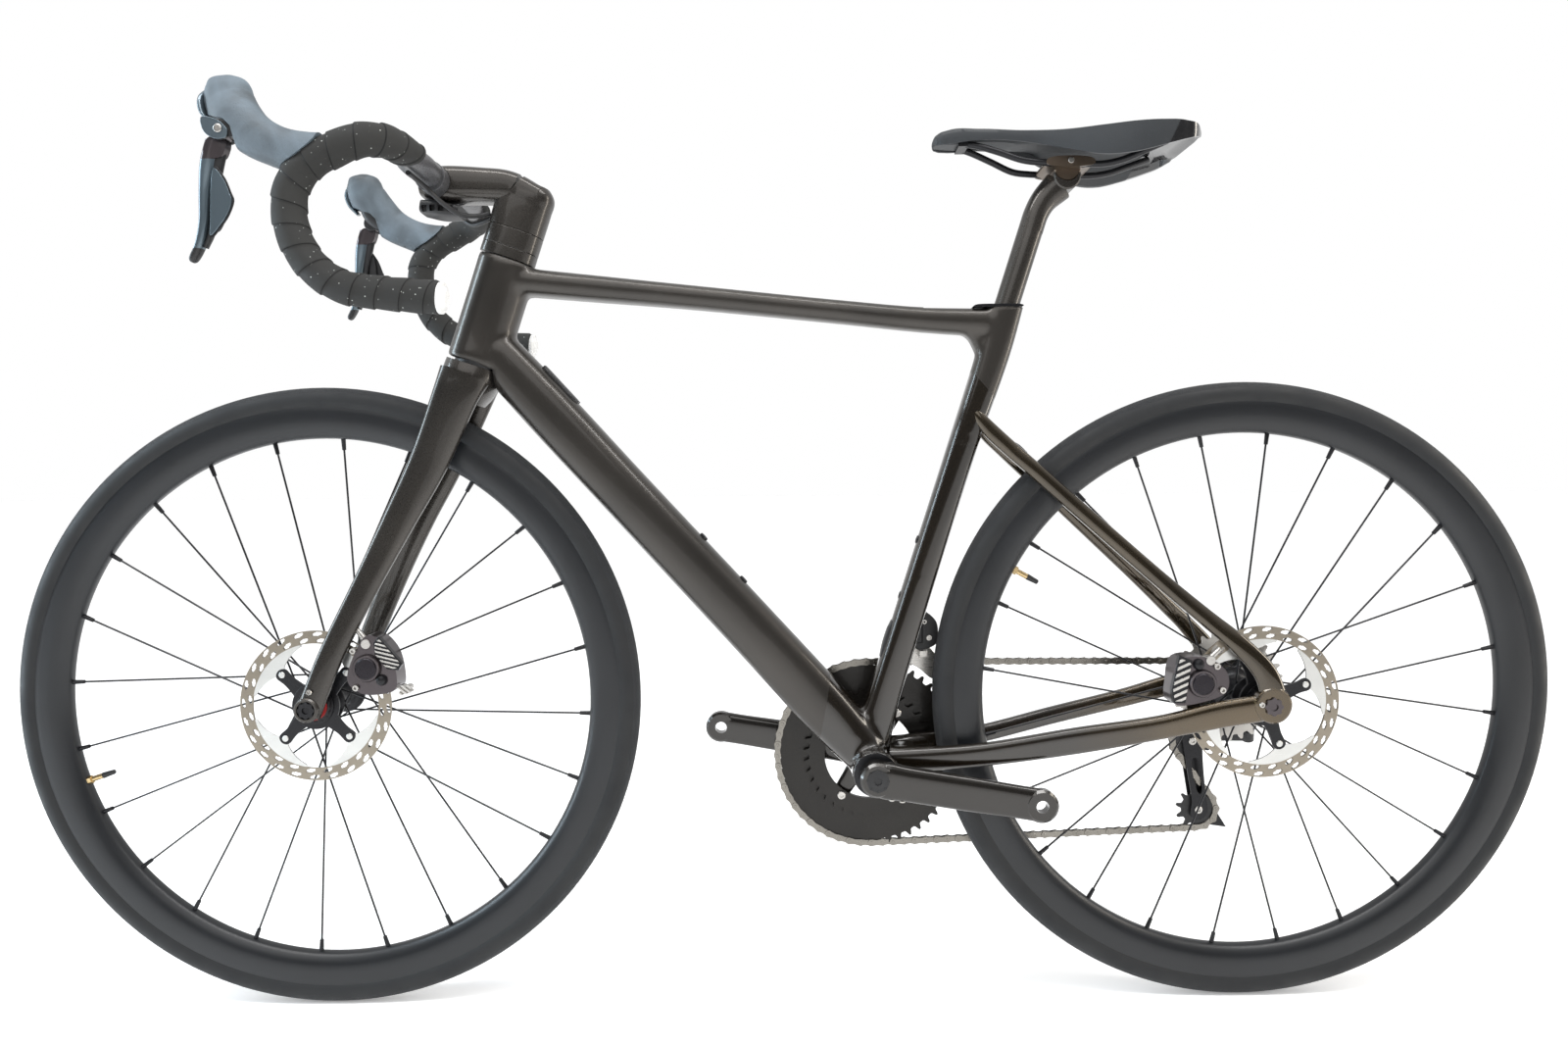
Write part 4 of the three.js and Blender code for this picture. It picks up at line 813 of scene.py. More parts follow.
show("seatstay_pair", stays(), "bronze", "frame", "seatstays", sharp=40)
show("chainstay_pair", chain_stays(), "gloss", "frame", "chainstays", sharp=40)
stay_nub = tube([(-262, 0, 600, 5, 4), (-250, 0, 608, 6, 6), (-238, 0, 612, 6, 5)], 2.4, 20)
show("stay_nub", stay_nub, "plastic", "frame")


def torx_head(centre, y0, y1, radius):
    """A round head whose rim is scalloped, with a hole in its middle."""
    teeth, outer, hole = 8, [], []
    points = teeth * 8
    for k in range(points):
        a = 2 * math.pi * k / points
        outer.append(polar(radius * (0.93 + 0.07 * math.tanh(3 * math.cos(teeth * a))), a))
        hole.append(polar(radius * 0.42, a))
    return merge(washer(outer, hole, y0, y1, centre), drum(AXIS_GAP, radius * 0.5, y0, y0 + 0.6, centre, 24))


axle_head = merge(torx_head(REAR_AXLE, 80.2, 82.3, 9.5), cross_rod(-WHEEL_X, AXLE_Z, -80, 80.4, 5.9))
show("rear_axle_head", axle_head, "pewter", "frame", "rear_axle")
show("rear_axle_bolt", screw_head((-487.5, 79.5, 341), (0, 1, 0), 3.0, 2.2), "steel", "frame")
cups = [turned([(14, 43.2 * side), (23.4, 43.2 * side), (23.4, 45.4 * side), (14, 45.8 * side)], BRACKET,
               64) for side in (1, -1)]
cups.append(drum(12.6, SHELL_BORE - 0.2, -44, 44, BRACKET, 48))
show("bottom_bracket_cups", merge(*cups), "black", "frame", "bottom_bracket")
cap_outline = [(-255, 759), (-230, 758.8), (-205, 759), (-208, 761.6), (-230, 762), (-253, 761.8)]
cap = carve(plate(smooth_outline(cap_outline, 3), -14, 14), post_bore)
show("seat_clamp_cap", cap, "black", "frame", "seatpost_clamp", bevel=0.4)
show("seat_clamp_bolt", screw_head((-214, 0, 761.5), (0.05, 0, 1), 3.4, 1.6), "steel", "frame")


# ---------------------------------------------------------------- calipers
def span(outline, height):
    """The lowest and highest X of an outline's edges at a height."""
    found = []
    for (x0, z0), (x1, z1) in zip(outline, np.roll(outline, -1, axis=0)):
        if (z0 - height) * (z1 - height) <= 0 and z0 != z1:
            found.append(x0 + (x1 - x0) * (height - z0) / (z1 - z0))
    return min(found), max(found)


SLAT_SHARE = 0.45  # of the room for one slat


def cooling_fins(outline, slope, y0, y1, count=7):
    """Slanted slats that together fill an outline."""
    sheared = np.asarray(outline, float)
    middle = sheared[:, 0].mean()
    sheared[:, 1] -= slope * (sheared[:, 0] - middle)
    low, pitch = sheared[:, 1].min(), np.ptp(sheared[:, 1]) / count
    slats = []
    for k in range(count):
        z0 = low + pitch * (k + (1 - SLAT_SHARE) / 2)
        z1 = z0 + pitch * SLAT_SHARE
        (a, b), (d, c) = span(sheared, z0), span(sheared, z1)
        corners = [(a, z0), (b, z0), (c, z1), (d, z1)]
        slats.append(plate([(x, z + slope * (x - middle)) for x, z in corners], y0, y1))
    return merge(*slats)


def about(centre, offsets):
    return [(centre[0] + x, centre[2] + z) for x, z in offsets]


def outline_about(outline, size):
    """An outline grown about its middle."""
    points = np.asarray(outline, float)
    middle = points.mean(axis=0)
    return middle + (points - middle) * size


BARREL = [(AXIS_GAP, 8), (14.6, 8), (14.6, 13.4), (13.4, 15.4), (11.6, 15.4), (11.6, 14.2), (AXIS_GAP, 14.2)]
PISTON_CAP = [(AXIS_GAP, 13.6), (11.2, 13.6), (11.2, 15.8), (10.2, 16.6), (AXIS_GAP, 16.8)]
BLEED_CAP = [(AXIS_GAP, 9), (5.6, 9), (6.0, 12), (4.6, 15.2), (2.2, 16.6), (AXIS_GAP, 16.8)]


def caliper(label, body, node, centre, rotor_y, outline, piston, fins, slope, bolts, bleed, inlet):
    """A disc brake caliper round its rotor; outlines and places are (x, z), bolts are (x, z, radius)."""
    solid = plate(smooth_outline(outline_about(outline, 0.93), 5), rotor_y - 15.5, rotor_y + 11)
    slot = drum(AXIS_GAP, ROTOR_RADIUS + 3, rotor_y - 2, rotor_y + 2, centre, 96)
    show(label + "_caliper_body", carve(solid, slot), "pewter", body, node, bevel=1.4)
    at = (piston[0], rotor_y, piston[1])
    show(label + "_piston_barrel", turned(BARREL, at, 64), "pewter", body)
    show(label + "_piston_cap", turned(PISTON_CAP, at, 48), "plum", body)
    backing = plate(outline_about(fins, 1.12), rotor_y + 6, rotor_y + 13)
    show(label + "_fin_block", backing, "black", body, bevel=0.6)
    show(label + "_fins", cooling_fins(fins, slope, rotor_y + 12.6, rotor_y + 14.2), "steel", body,
         bevel=0.3)
    heads = [screw_head((x, rotor_y + 10.5, z), (0, 1, 0), r, 3.4) for x, z, r in bolts]
    show(label + "_caliper_bolts", merge(*heads), "steel", body)
    show(label + "_bleed_cap", turned(BLEED_CAP, (bleed[0], rotor_y, bleed[1]), 40), "black", body)
    start_at, end_at = [(x, rotor_y + 6, z) for x, z in inlet]
    ball = cross_rod(*inlet[0], rotor_y, rotor_y + 12, 5)
    banjo = merge(rod(start_at, end_at, 3.4, 2.7, sides=24, edge=0.6), ball)
    show(label + "_hose_fitting", banjo, "steel", body, bevel=0.3)


caliper(
    "rear", "frame", "rear_caliper", REAR_AXLE, REAR_ROTOR_Y,
    outline=[(-404, 336), (-455, 347), (-460, 372), (-438, 389), (-407, 388), (-400, 362)],
    piston=(-431, 361),
    fins=[(-407, 388), (-419, 383), (-413, 343), (-402, 343), (-400, 356)],
    slope=-0.45,
    bolts=[(-446, 379, 3.6), (-452, 354, 3.6)],
    bleed=(-427, 381),
    inlet=[(-440, 385), (-452, 397)],
)
caliper(
    "front", "steering", "front_caliper", FRONT_AXLE, FRONT_ROTOR_Y,
    outline=[(446, 413), (430, 416), (414, 398), (408, 372), (410, 356), (426, 351), (448, 352), (464, 370)],
    piston=(440, 380.5),
    fins=[(426, 412), (404.5, 386), (408.5, 380), (419, 381), (430, 395), (431, 406)],
    slope=0.25,
    bolts=[(454, 399, 3.4), (452, 360, 3.4)],
    bleed=(425, 368),
    inlet=[(441, 406), (452, 421)],
)
pad_tip = cooling_fins([(411, 361), (398, 361), (397, 353), (409, 350)], 0.8, 34, 45, count=4)
show("front_pad_tip", pad_tip, "steel", "steering")


# ---------------------------------------------------------------- fork and steering
def fork():
    blade = tube([station(steered(5, HEAD_BOTTOM - 16, 22), 13, 27),
                  station(steered(6, HEAD_BOTTOM - 34, 27), 9.5, 24.5), (379, 27, 596, 8.5, 20.5),
                  (410, 31, 535, 8, 17), (444, 41, 465, 7.5, 14), (478, 52, 392, 7, 13),
                  (500.5, 57, 333, 6.7, 13)], 2.5, 36)
    crown = tube([station(steered(4, HEAD_BOTTOM - 42), 24, 22),
                  station(steered(4, HEAD_BOTTOM - 30), 32, 27),
                  station(steered(4, HEAD_BOTTOM - 14), 31, 30),
                  station(steered(4, HEAD_BOTTOM - 2.2), 28, 30)], 2.4, 40)
    wheel = cross_rod(WHEEL_X, AXLE_Z, -18.5, 18.5, TYRE_RADIUS + TYRE_ROOM, sides=96, edge=6)
    spare = block(440, 560, -50, 50, 315, 375)
    ends = [cross_rod(WHEEL_X, AXLE_Z, 50 * s, 65 * s, 13, sides=40, edge=1.5) for s in (1, -1)]
    slot = drum(AXIS_GAP, ROTOR_RADIUS + 2.5, 37, 42, FRONT_AXLE, 96)
    whole = carve(union(crown, blade, mirrored(blade)), wheel, spare)
    whole = carve(union(whole, *ends), slot, cross_rod(WHEEL_X, AXLE_Z, 61, 80, 9.6))
    return merge(whole, rod(steered(0, HEAD_BOTTOM - 20), steered(0, STEM_BOTTOM + 38), 14.3, sides=32))


show("fork_body", fork(), "satin", "steering", "fork", sharp=40)
axle_head = merge(torx_head(FRONT_AXLE, 62.4, 64.8, 9), cross_rod(WHEEL_X, AXLE_Z, -64, 62.6, 5.9))
show("front_axle_head", axle_head, "black", "steering", "front_axle")
show("front_axle_bolt", screw_head((WHEEL_X - 4, 63.2, AXLE_Z + 19), (0, 1, 0.1), 3.0, 2.0), "steel",
     "steering")
STEM_ARM = [(262, 0, 876, 19, 14), (292, 0, 889, 20, 17), (322, 0, 892, 20, 18), (366, 0, 893, 21, 18.5),
            (386, 0, 893, 20, 14)]


def stem_parts():
    column = tube([station(steered(5, STEM_BOTTOM + 0.2), 20, 29.5),
                   station(steered(5, STEM_BOTTOM + 30), 20, 29.5),
                   station(steered(4, STEM_BOTTOM + 44), 19, 28),
                   station(steered(4, STEM_BOTTOM + 52), 15, 21)], 2.8, 36)
    arm = tube(STEM_ARM, 3.4, 36)
    bar = cross_rod(*BAR_CLAMP, -40, 40, 16.4, sides=64)
    lid = plate([(276, 898), (288, 884), (420, 884), (420, 930), (276, 930)], -40, 40)
    top = plate([(283, 891.5), (288.5, 884.3), (420, 884.3), (420, 930), (276, 930)], -40, 40)
    base = carve(union(column, arm), bar, lid)
    return base, combined("INTERSECT", carve(arm, bar), top)


stem_base, stem_top = stem_parts()
show("stem_body", stem_base, "satin", "steering", "stem", bevel=0.4)
show("stem_top", stem_top, "satin", "steering", "stem_cover", bevel=0.4)
for label, low, high in (
    ("headset_cover", HEAD_TOP + 0.7, COVER_TOP),
    ("headset_spacer", COVER_TOP + 0.3, STEM_BOTTOM - 0.3),
):
    ring = tube([station(steered(5, low), 20.4, 29.5), station(steered(5, high), 20.1, 29.5)], 2.8, 40,
                steps=4)
    show(label + "_shell", ring, "satin", "steering", label, bevel=0.5)

BAR = [(368, 0, 893), (368, 60, 893), (367, 122, 894), (373, 149, 893), (389, 166, 888), (410, 171, 878),
       (432, HOOD_Y, 866), (448, HOOD_Y, 845), (451, HOOD_Y, 818), (443, 173, 791), (427, DROP_Y, 769),
       (403, DROP_Y, 754), (374, DROP_Y, 749), (345, DROP_Y, 746), (316, DROP_Y, 743.5)]
BAR_PATH = spline(BAR, 700)
TAPE_FROM_Y, TAPE_SIDES = 108.0, 40


def bar_half():
    path = BAR_PATH[::8]
    flat = np.clip((110 - path[:, 1]) / 30, 0, 1) * np.clip((path[:, 1] - 34) / 20, 0, 1)
    across, through = rounded(2, 28)
    up, side = np.outer(BAR_RADIUS - 1.8 * flat, across), np.outer(BAR_RADIUS + 7 * flat, through)
    return swept(path, *carried(path), up, side)


def tape_half():
    """Wound tape: each turn overlaps the last, so the radius climbs and drops at every seam."""
    path = BAR_PATH[BAR_PATH[:, 1] > TAPE_FROM_Y]
    run = np.concatenate([[0], np.cumsum(np.linalg.norm(np.diff(path, axis=0), axis=1))])
    turn = 2 * math.pi * np.arange(TAPE_SIDES) / TAPE_SIDES
    phase = (run[:, None] / TAPE_TURN + turn[None] / (2 * math.pi)) % 1.0
    climb, drop = np.clip(phase / 0.95, 0, 1), np.clip((phase - 0.95) / 0.05, 0, 1)
    size = TAPE_RADIUS - 0.7 + 1.2 * (climb - drop)
    flat = np.clip((135 - path[:, 1]) / 25, 0, 1)[:, None]
    end = np.clip(run / 2.0, 0.86, 1)[:, None]
    up, side = (size - 2.6 * flat) * end * np.cos(turn), (size + 4.5 * flat) * end * np.sin(turn)
    return swept(path, *carried(path), up, side)


def on_drop(x):
    """A point on the axis of the bar's lower end."""
    return x, DROP_Y, 745.4 - (338 - x) * 0.086


half = bar_half()
bar = merge(half, mirrored(half), cross_rod(*BAR_CLAMP, -38, 38, 15.9, sides=48))
show("handlebar_tube", bar, "bar", "steering", "handlebar")
tape = tape_half()
plug = merge(
    rod(on_drop(335), on_drop(316), 8.9),
    rod(on_drop(316), on_drop(311.5), 14.6, sides=40, edge=0.8),
    rod(on_drop(312.5), on_drop(308.6), 12.0, 8.5, sides=40, edge=0.8),
)
HOSE = [(368, 100, 878.2), (368, 70, 878), (366, 48, 876), (356, 34, 866), (341, 22, 857), (326, 12, 858),
        steered(34.9, STEM_BOTTOM + 9, 7)]
hose = pipe(HOSE, 2.5, 16, 50)
for side in ("left", "right"):
    show_side(side, "tape", tape, "tape", "bar_tape", sharp=50)
    show_side(side, "plug", plug, "white", "bar_plug")
    show_side(side, "hose", hose, "hose", "brake_hose")

junction = tube([(386, 0, 869, 17, 7), (366, 0, 866, 20, 8), (346, 0, 864, 15, 6)], 4, 32)
ports = [block(351 + 9 * k, 357 + 9 * k, y0, y0 + 16, 862, 868.5) for k in range(4) for y0 in (14, -30)]
show("junction_body", carve(junction, *ports), "plastic", "steering", "junction_box", bevel=0.4)


# ---------------------------------------------------------------- brake levers and hoods
def hood_shape():
    grip = tube([(405, HOOD_Y, 876, 15.6, 17), (432, HOOD_Y, 873, 16.5, 20), (460, 170, 881, 15.8, 18.4),
                 (483, 168, 893, 17, 20), (500, 164, 910, 18, 22), (510, 157, 927, 15, 22),
                 (511.5, 155, 940, 13.5, 19.5), (511.5, 154.6, 947, 10, 15), (511.5, 154.5, 950.3, 4, 6)],
                2.3, 36, steps=90)
    tape_side = smooth_outline([(416, 902), (422, 884), (438, 870), (468, 850), (440, 820), (385, 820),
                                (375, 905)], 5)
    lever_side = [(499, 850), (570, 850), (570, 910), (523, 910), (514, 906), (504, 903), (497, 896),
                  (495, 884)]
    return carve(grip, plate(tape_side, 120, 220), plate(lever_side, 120, 220))


def lever_shape():
    blade = tube([(518, HOOD_Y, 886, 4.8, 7), (523, HOOD_Y, 866, 5.2, 7.4), (526, HOOD_Y, 840, 6.8, 5.6),
                  (528, HOOD_Y, 812, 6.8, 4.4), (533, HOOD_Y, 792, 6.2, 3.8), (540, HOOD_Y, 779, 4.6, 3.0),
                  (541, HOOD_Y, 777.5, 3.0, 1.6)], 2.6, 32, steps=70)
    root = cross_rod(*LEVER_PIVOT, HOOD_Y - 4.8, HOOD_Y + 4.8, 8.2, sides=40)
    arm = plate(smooth_outline([(505, 886), (507, 874), (512, 870), (524, 871), (525, 880), (519, 889)], 4),
                HOOD_Y - 4.6, HOOD_Y + 4.6)
    upper = block(495, 545, HOOD_Y - 20, HOOD_Y + 20, 869, 910)
    tip = block(520, 560, HOOD_Y - 20, HOOD_Y + 20, 770, 789)
    whole = union(blade, root, arm)
    return carve(whole, upper, tip), combined("INTERSECT", whole, upper), combined("INTERSECT", whole, tip)


def bracket_shape():
    """The black carrier inside the hood, and the ears that hold the lever's pivot."""
    carrier = tube([(461, 169, 873, 9, 11), (484, 166, 890, 9, 13), (502, 162, 906, 9, 15),
                    (511, 158, 926, 8, 10)], 3, 28)
    ears = [cross_rod(*LEVER_PIVOT, HOOD_Y + y, HOOD_Y + y + 4, 9.2, sides=40, edge=1) for y in (5.6, -9.6)]
    return merge(carrier, *ears, block(485, 500, HOOD_Y - 9.4, HOOD_Y + 9.4, 887, 901))


def lever_plate(points, y0, y1):
    """A smooth flat piece at heights over the lever's middle."""
    return plate(smooth_outline(points, 5), HOOD_Y + y0, HOOD_Y + y1)


hood = hood_shape()
lever, lever_top, lever_tip = lever_shape()
bracket = bracket_shape()
pivot_screw = screw_head((LEVER_PIVOT[0], HOOD_Y + 11.0, LEVER_PIVOT[1]), (0, 1, 0), 3.8, 1.2)
FACE = [(530, 155, 936, 5, 1.6), (532.5, 158, 926, 9.5, 2.8), (530, 161, 914, 10.5, 2.8),
        (523, 164, 904, 8, 1.6)]
face_plate = tube(FACE, 2.8, 24)
CHEEK = [(523, 904), (515, 904), (506, 900), (500, 893), (502, 886), (511, 885), (519, 889), (523, 896)]
side_cheek = lever_plate(CHEEK, 9.7, 11.2)
BACK = [(511, HOOD_Y, 876, 3.4, 4.4), (514.5, HOOD_Y, 862, 3.6, 4.4), (518.5, HOOD_Y, 838, 3.8, 3.0),
        (521.5, HOOD_Y, 806, 3.8, 2.4), (528, HOOD_Y, 790, 3.2, 1.6)]
back = tube(BACK, 3, 20)
PADDLE = [(517, 858), (508, 852), (502, 838), (500, 831), (504, 820), (510, 811), (520, 800), (520, 812)]
paddle = lever_plate(PADDLE, 4.9, 6.6)
paddle_rim = plate(outline_about(smooth_outline(PADDLE, 5), 1.07) + [-0.8, -0.4], HOOD_Y + 4.2, HOOD_Y + 5.4)
BUTTON = [(513.5, 856), (509, 853), (506.5, 830), (510, 812), (516.5, 805), (515.5, 830)]
button = lever_plate(BUTTON, 0.4, 2.4)
for side in ("left", "right"):
    show_side(side, "grip_hood", hood, "hood", "hood", sharp=45)
    show_side(side, "bracket", bracket, "plastic", "lever_bracket", bevel=0.3)
    show_side(side, "pivot_screw", pivot_screw, "steel")
    show_side(side, "face_plate", face_plate, "lever")
    show_side(side, "side_cheek", side_cheek, "lever", bevel=0.4)
    show_side(side, "lever", lever, "lever", "brake_lever", "brake", sharp=40)
    show_side(side, "lever_top", lever_top, "pewter", part="brake", sharp=40)
    show_side(side, "lever_tip", lever_tip, "plastic", part="brake", sharp=40)
    show_side(side, "lever_back", back, "plastic", part="brake")
    show_side(side, "paddle", paddle, "lever", "shift_paddle", "paddle", bevel=0.5)
    show_side(side, "paddle_rim", paddle_rim, "plastic", part="paddle", bevel=0.3)
    show_side(side, "button", button, "plastic", "shift_button", "button", bevel=0.5)


# ---------------------------------------------------------------- wheels
def tyre_shape(centre):
    """Casing from bead to bead, tread outermost; v runs across the casing."""
    bead, casing = (RIM_OUTER - 1, 9.8), []
    for angle in np.radians(np.linspace(-128, 128, 41)):
        casing.append((TYRE_RADIUS - TREAD_ROUND * (1 - math.cos(angle)), CASING_HALF * math.sin(angle)))
    return turned([(bead[0], -bead[1]), *casing, bead], centre, 180)


def rim_shape(centre):
    side = [(RIM_INNER, 3.0), (RIM_INNER + 1.5, 6), (RIM_INNER + 6, 9.6), (RIM_INNER + 12, 12),
            (RIM_INNER + 20, 12.9), (RIM_INNER + 28, 12.6), (RIM_OUTER - 0.6, 12), (RIM_OUTER + 0.8, 11.4)]
    return turned([(radius, -y) for radius, y in side] + side[::-1], centre, 180)


def flange_profile(y, way):
    """A spoke flange's profile from its steep face to the barrel, which lies the way of the sign."""
    return [(23, y - way * 1.6), (23.4, y), (23, y + way * 1.6), (17, y + way * 3.5), (13.4, y + way * 8),
            (12.4, y + way * 14)]


def hub_shape(centre, half, right_end, left, right, rotor_y):
    profile = [(6.4, -right_end), (9.6, -right_end), (10, -right_end + 0.6), (10, right - 5),
               (13, right - 4), (21, right - 2.2), *flange_profile(right, 1),
               *flange_profile(left, -1)[::-1], (19, left + 3), (16.8, left + 4), (16.8, rotor_y + 3.4),
               (14, rotor_y + 4.4), (10, rotor_y + 5), (10, half - 0.6), (6.4, half - 0.6)]
    return turned(profile, centre, 72)


def spoke_lines(phase, first_solo, solo_flange, pair_flange):
    """Each spoke's ends: a third run alone to one flange, the rest in pairs to the other."""
    lines = []
    for k in range(SPOKES):
        alone = k % 3 == first_solo
        trails = k % 6 >= 3 if alone else (k - first_solo + 3) % 3 == 1
        nipple = math.radians(phase + 360 * k / SPOKES)
        hole = nipple + math.radians(-SPOKE_LEAD if trails else SPOKE_LEAD)
        (x0, z0), (x1, z1) = polar(HOLE_CIRCLE, hole), polar(RIM_INNER + 1, nipple)
        flange = solo_flange if alone else pair_flange
        lines.append((np.array([x0, flange, z0]), np.array([x1, 0, z1])))
    return lines


def slotted(step, band):
    """Whether a cell of the braking track lies in one of its two rows of rounded slots."""
    inner_slot = (1 <= step <= 5 and 1 <= band <= 4) or (step in (0, 6) and band in (2, 3))
    outer_slot = (8 <= step <= 12 and 7 <= band <= 10) or (step in (7, 13) and band in (8, 9))
    return inner_slot or outer_slot


def rotor_track(centre, y):
    """A braking track built of small cells, with its slots left out."""
    steps, bands, repeat = 360, 12, 15
    inner, half, lean = 66.5, 0.9, 0.012
    corners, faces = [], []
    for side in (-half, half):
        for k in range(steps):
            for radius in np.linspace(inner, ROTOR_RADIUS, bands + 1):
                x, z = polar(radius, 2 * math.pi * k / steps + (radius - inner) * lean)
                corners.append((centre[0] + x, y + side, centre[2] + z))

    def at(k, band, top):
        return (top * steps + k % steps) * (bands + 1) + band

    def solid(k, band):
        return 0 <= band < bands and not slotted(k % repeat, band)

    for k in range(steps):
        for band in range(bands):
            if not solid(k, band):
                continue
            cell = [(k, band), (k + 1, band), (k + 1, band + 1), (k, band + 1)]
            faces += [tuple(at(*spot, top) for spot in cell) for top in (0, 1)]
            beyond = [(k, band - 1), (k + 1, band), (k, band + 1), (k - 1, band)]
            for a, b, other in zip(cell, cell[1:] + cell[:1], beyond):
                if not solid(*other):
                    faces.append((at(*a, 0), at(*b, 0), at(*b, 1), at(*a, 1)))
    return plain(corners, faces)


def rotor_shapes(centre, y, arm_at):
    """Four riveted lugs, a black spider and its lock ring."""
    reach = 34
    lug = [polar(67.2, math.radians(t)) for t in range(-reach, reach + 1, 4)]
    lug += [polar(45 + 19.5 * (abs(t) / reach) ** 0.7,
                  math.radians(t)) for t in range(reach, -reach - 1, -4)]
    rivet = cross_rod(centre[0] + 48, centre[2], y - 2, y + 2, 3.4, sides=20, edge=0.5)
    lugs = around(merge(plate(about(centre, lug), y - 0.8, y + 0.8), rivet), centre, 4, arm_at)
    arm = smooth_outline([(14, -11), (24, -8), (38, -6), (50, -6.5), (54, 0), (50, 6.5), (38, 6), (24, 8),
                          (14, 11)], 5)
    arms = around(plate(about(centre, arm), y - 1.3, y + 1.3), centre, 4, arm_at)
    spider = merge(drum(17.2, 25, y - 1.6, y + 1.6, centre, 64), arms)
    tooth = block(centre[0] + 15.5, centre[0] + 18, y + 1, y + 4, centre[2] - 1.6, centre[2] + 1.6)
    ring = turned([(12, y + 1.2), (18, y + 1.2), (19.5, y + 2), (19.5, y + 3.4), (12, y + 3.8)], centre, 48)
    return lugs, spider, merge(ring, around(tooth, centre, 16))


def wheel(label, centre, hub, phase, solo, rotor_y, arm_at, valve_at):
    body = label + "_wheel"
    show(label + "_tyre_casing", tyre_shape(centre), "tyre", body, label + "_tyre")
    show(label + "_rim_hoop", rim_shape(centre), "carbon", body, label + "_rim")
    show(label + "_hub", hub_shape(centre, *hub, rotor_y), "black", body, label + "_hub_and_spokes",
         bevel=0.3)
    spokes, nipples = [], []
    for a, b in spoke_lines(phase, *solo):
        along, end = unit(b - a), b + centre
        spokes.append(rod(a + centre - along * 2, end, 1.05, sides=8, edge=0))
        nipples.append(rod(end - along * 13, end, 2.1, 2.5, sides=10))
    show(label + "_spokes", merge(*spokes), "black", body)
    show(label + "_nipples", merge(*nipples), "black", body)
    x, z = polar(1.0, math.radians(valve_at))
    out = np.array([x, 0, z])
    stem = rod(centre + out * 284, centre + out * 266, 3.0, sides=20)
    nut = rod(centre + out * 285, centre + out * 280, 4.6, sides=6)
    cap = rod(centre + out * 268, centre + out * 254, 3.4, 2.6, sides=16, edge=0.8)
    show(label + "_valve", merge(stem, nut), "brass", body)
    show(label + "_valve_cap", cap, "plastic", body)
    lugs, spider, lock = rotor_shapes(centre, rotor_y, arm_at)
    show(label + "_rotor_track", rotor_track(centre, rotor_y), "rotor", body, label + "_rotor")
    show(label + "_rotor_lugs", lugs, "lug", body, bevel=0.2)
    show(label + "_rotor_spider", spider, "black", body, bevel=0.3)
    show(label + "_rotor_lockring", lock, "black", body, bevel=0.2)


# hub is (half length, right end, left flange, right flange).
# solo is (which spoke of three runs alone, its flange, the pairs' flange).
wheel("front", FRONT_AXLE, hub=(50, 49.7, 22, -33), phase=3.9, solo=(0, -33, 22), rotor_y=FRONT_ROTOR_Y,
      arm_at=43.5, valve_at=-18.4)
wheel("rear", REAR_AXLE, hub=(71, 26.5, 34, -18), phase=20.5, solo=(2, 34, -18), rotor_y=REAR_ROTOR_Y,
      arm_at=68.0, valve_at=28.6)
hub_seal = turned([(7, 46), (14.2, 46), (14.2, 48.6), (7, 49)], FRONT_AXLE, 48)
show("front_hub_seal", hub_seal, "red", "front_wheel")


# ---------------------------------------------------------------- cranks and gears
def crank(side, direction):
    """An arm from the spindle to the pedal hole, on the side that Y's sign gives."""
    def at(reach, y):
        return BRACKET[0] + direction[0] * reach, side * y, BRACKET[2] + direction[2] * reach

    arm = tube([station(at(-8, 58), 8.0, 16), station(at(8, 59), 8.6, 19.5), station(at(30, 60), 8.2, 18.6),
                station(at(100, 63.5), 7, 18), station(at(150, 65), 6.6, 17.2),
                station(at(CRANK_LENGTH, 66), 6.5, 17.4)], 3.0, 36)
    boss_start = 46.4 if side > 0 else 49
    boss = cross_rod(BRACKET[0], BRACKET[2], side * boss_start, side * 67, 18.5, sides=64, edge=2.5)
    x, _, z = at(CRANK_LENGTH, 0)
    end = cross_rod(x, z, side * 59.5, side * 72.5, 17.5, sides=64, edge=2.5)
    return carve(union(arm, boss, end), cross_rod(x, z, side * 50, side * 80, 6.6, sides=40))


def spider_leg(angle):
    """A leg from the right crank's boss to a chainring bolt."""
    def at(radius, y):
        x, z = polar(radius, math.radians(angle))
        return BRACKET[0] + x, y, BRACKET[2] + z

    return tube([station(at(8, -55), 6, 15), station(at(30, -53.5), 4, 11), station(at(60, -51.2), 2.8, 8.5),
                 station(at(66, -51), 2.4, 6)], 3.4, 24)


back_way = np.array([-math.cos(CRANK_TILT), 0, -math.sin(CRANK_TILT)])
LEG_ANGLES = [34 + 90 * k for k in range(4)]
show("left_crank_arm", crank(1, back_way), "alloy", "cranks", "left_crank", sharp=32)
spindle = cross_rod(BRACKET[0], BRACKET[2], -60, 61, 12, sides=40)
right_arm = merge(crank(-1, -back_way), *[spider_leg(angle) for angle in LEG_ANGLES], spindle)
show("right_crank_arm", right_arm, "alloy", "cranks", "right_crank", sharp=32)
cap_ring = turned([(4, 66.5), (10.5, 66.5), (11.5, 67.2), (11.5, 68.4), (4, 68.8)], BRACKET, 48)
cap_floor = drum(AXIS_GAP, 5, 66.8, 67.3, BRACKET, 24)
cap_tooth = block(BRACKET[0] + 9.6, BRACKET[0] + 12, 67, 69, BRACKET[2] - 1.2, BRACKET[2] + 1.2)
show("spindle_cap", merge(cap_ring, cap_floor, around(cap_tooth, BRACKET, 8)), "plastic", "cranks",
     bevel=0.2)
pinch = []
for reach in (15, 26):
    x, _, z = BRACKET + back_way * reach
    pinch.append(screw_head((x, 62, z - 18.3), (0, 0, -1), 3.0, 1.4))
show("pinch_bolts", merge(*pinch), "steel", "cranks")
BIG_RING, SMALL_RING = BRACKET + [0, -46.5, 0], BRACKET + [0, -40.2, 0]
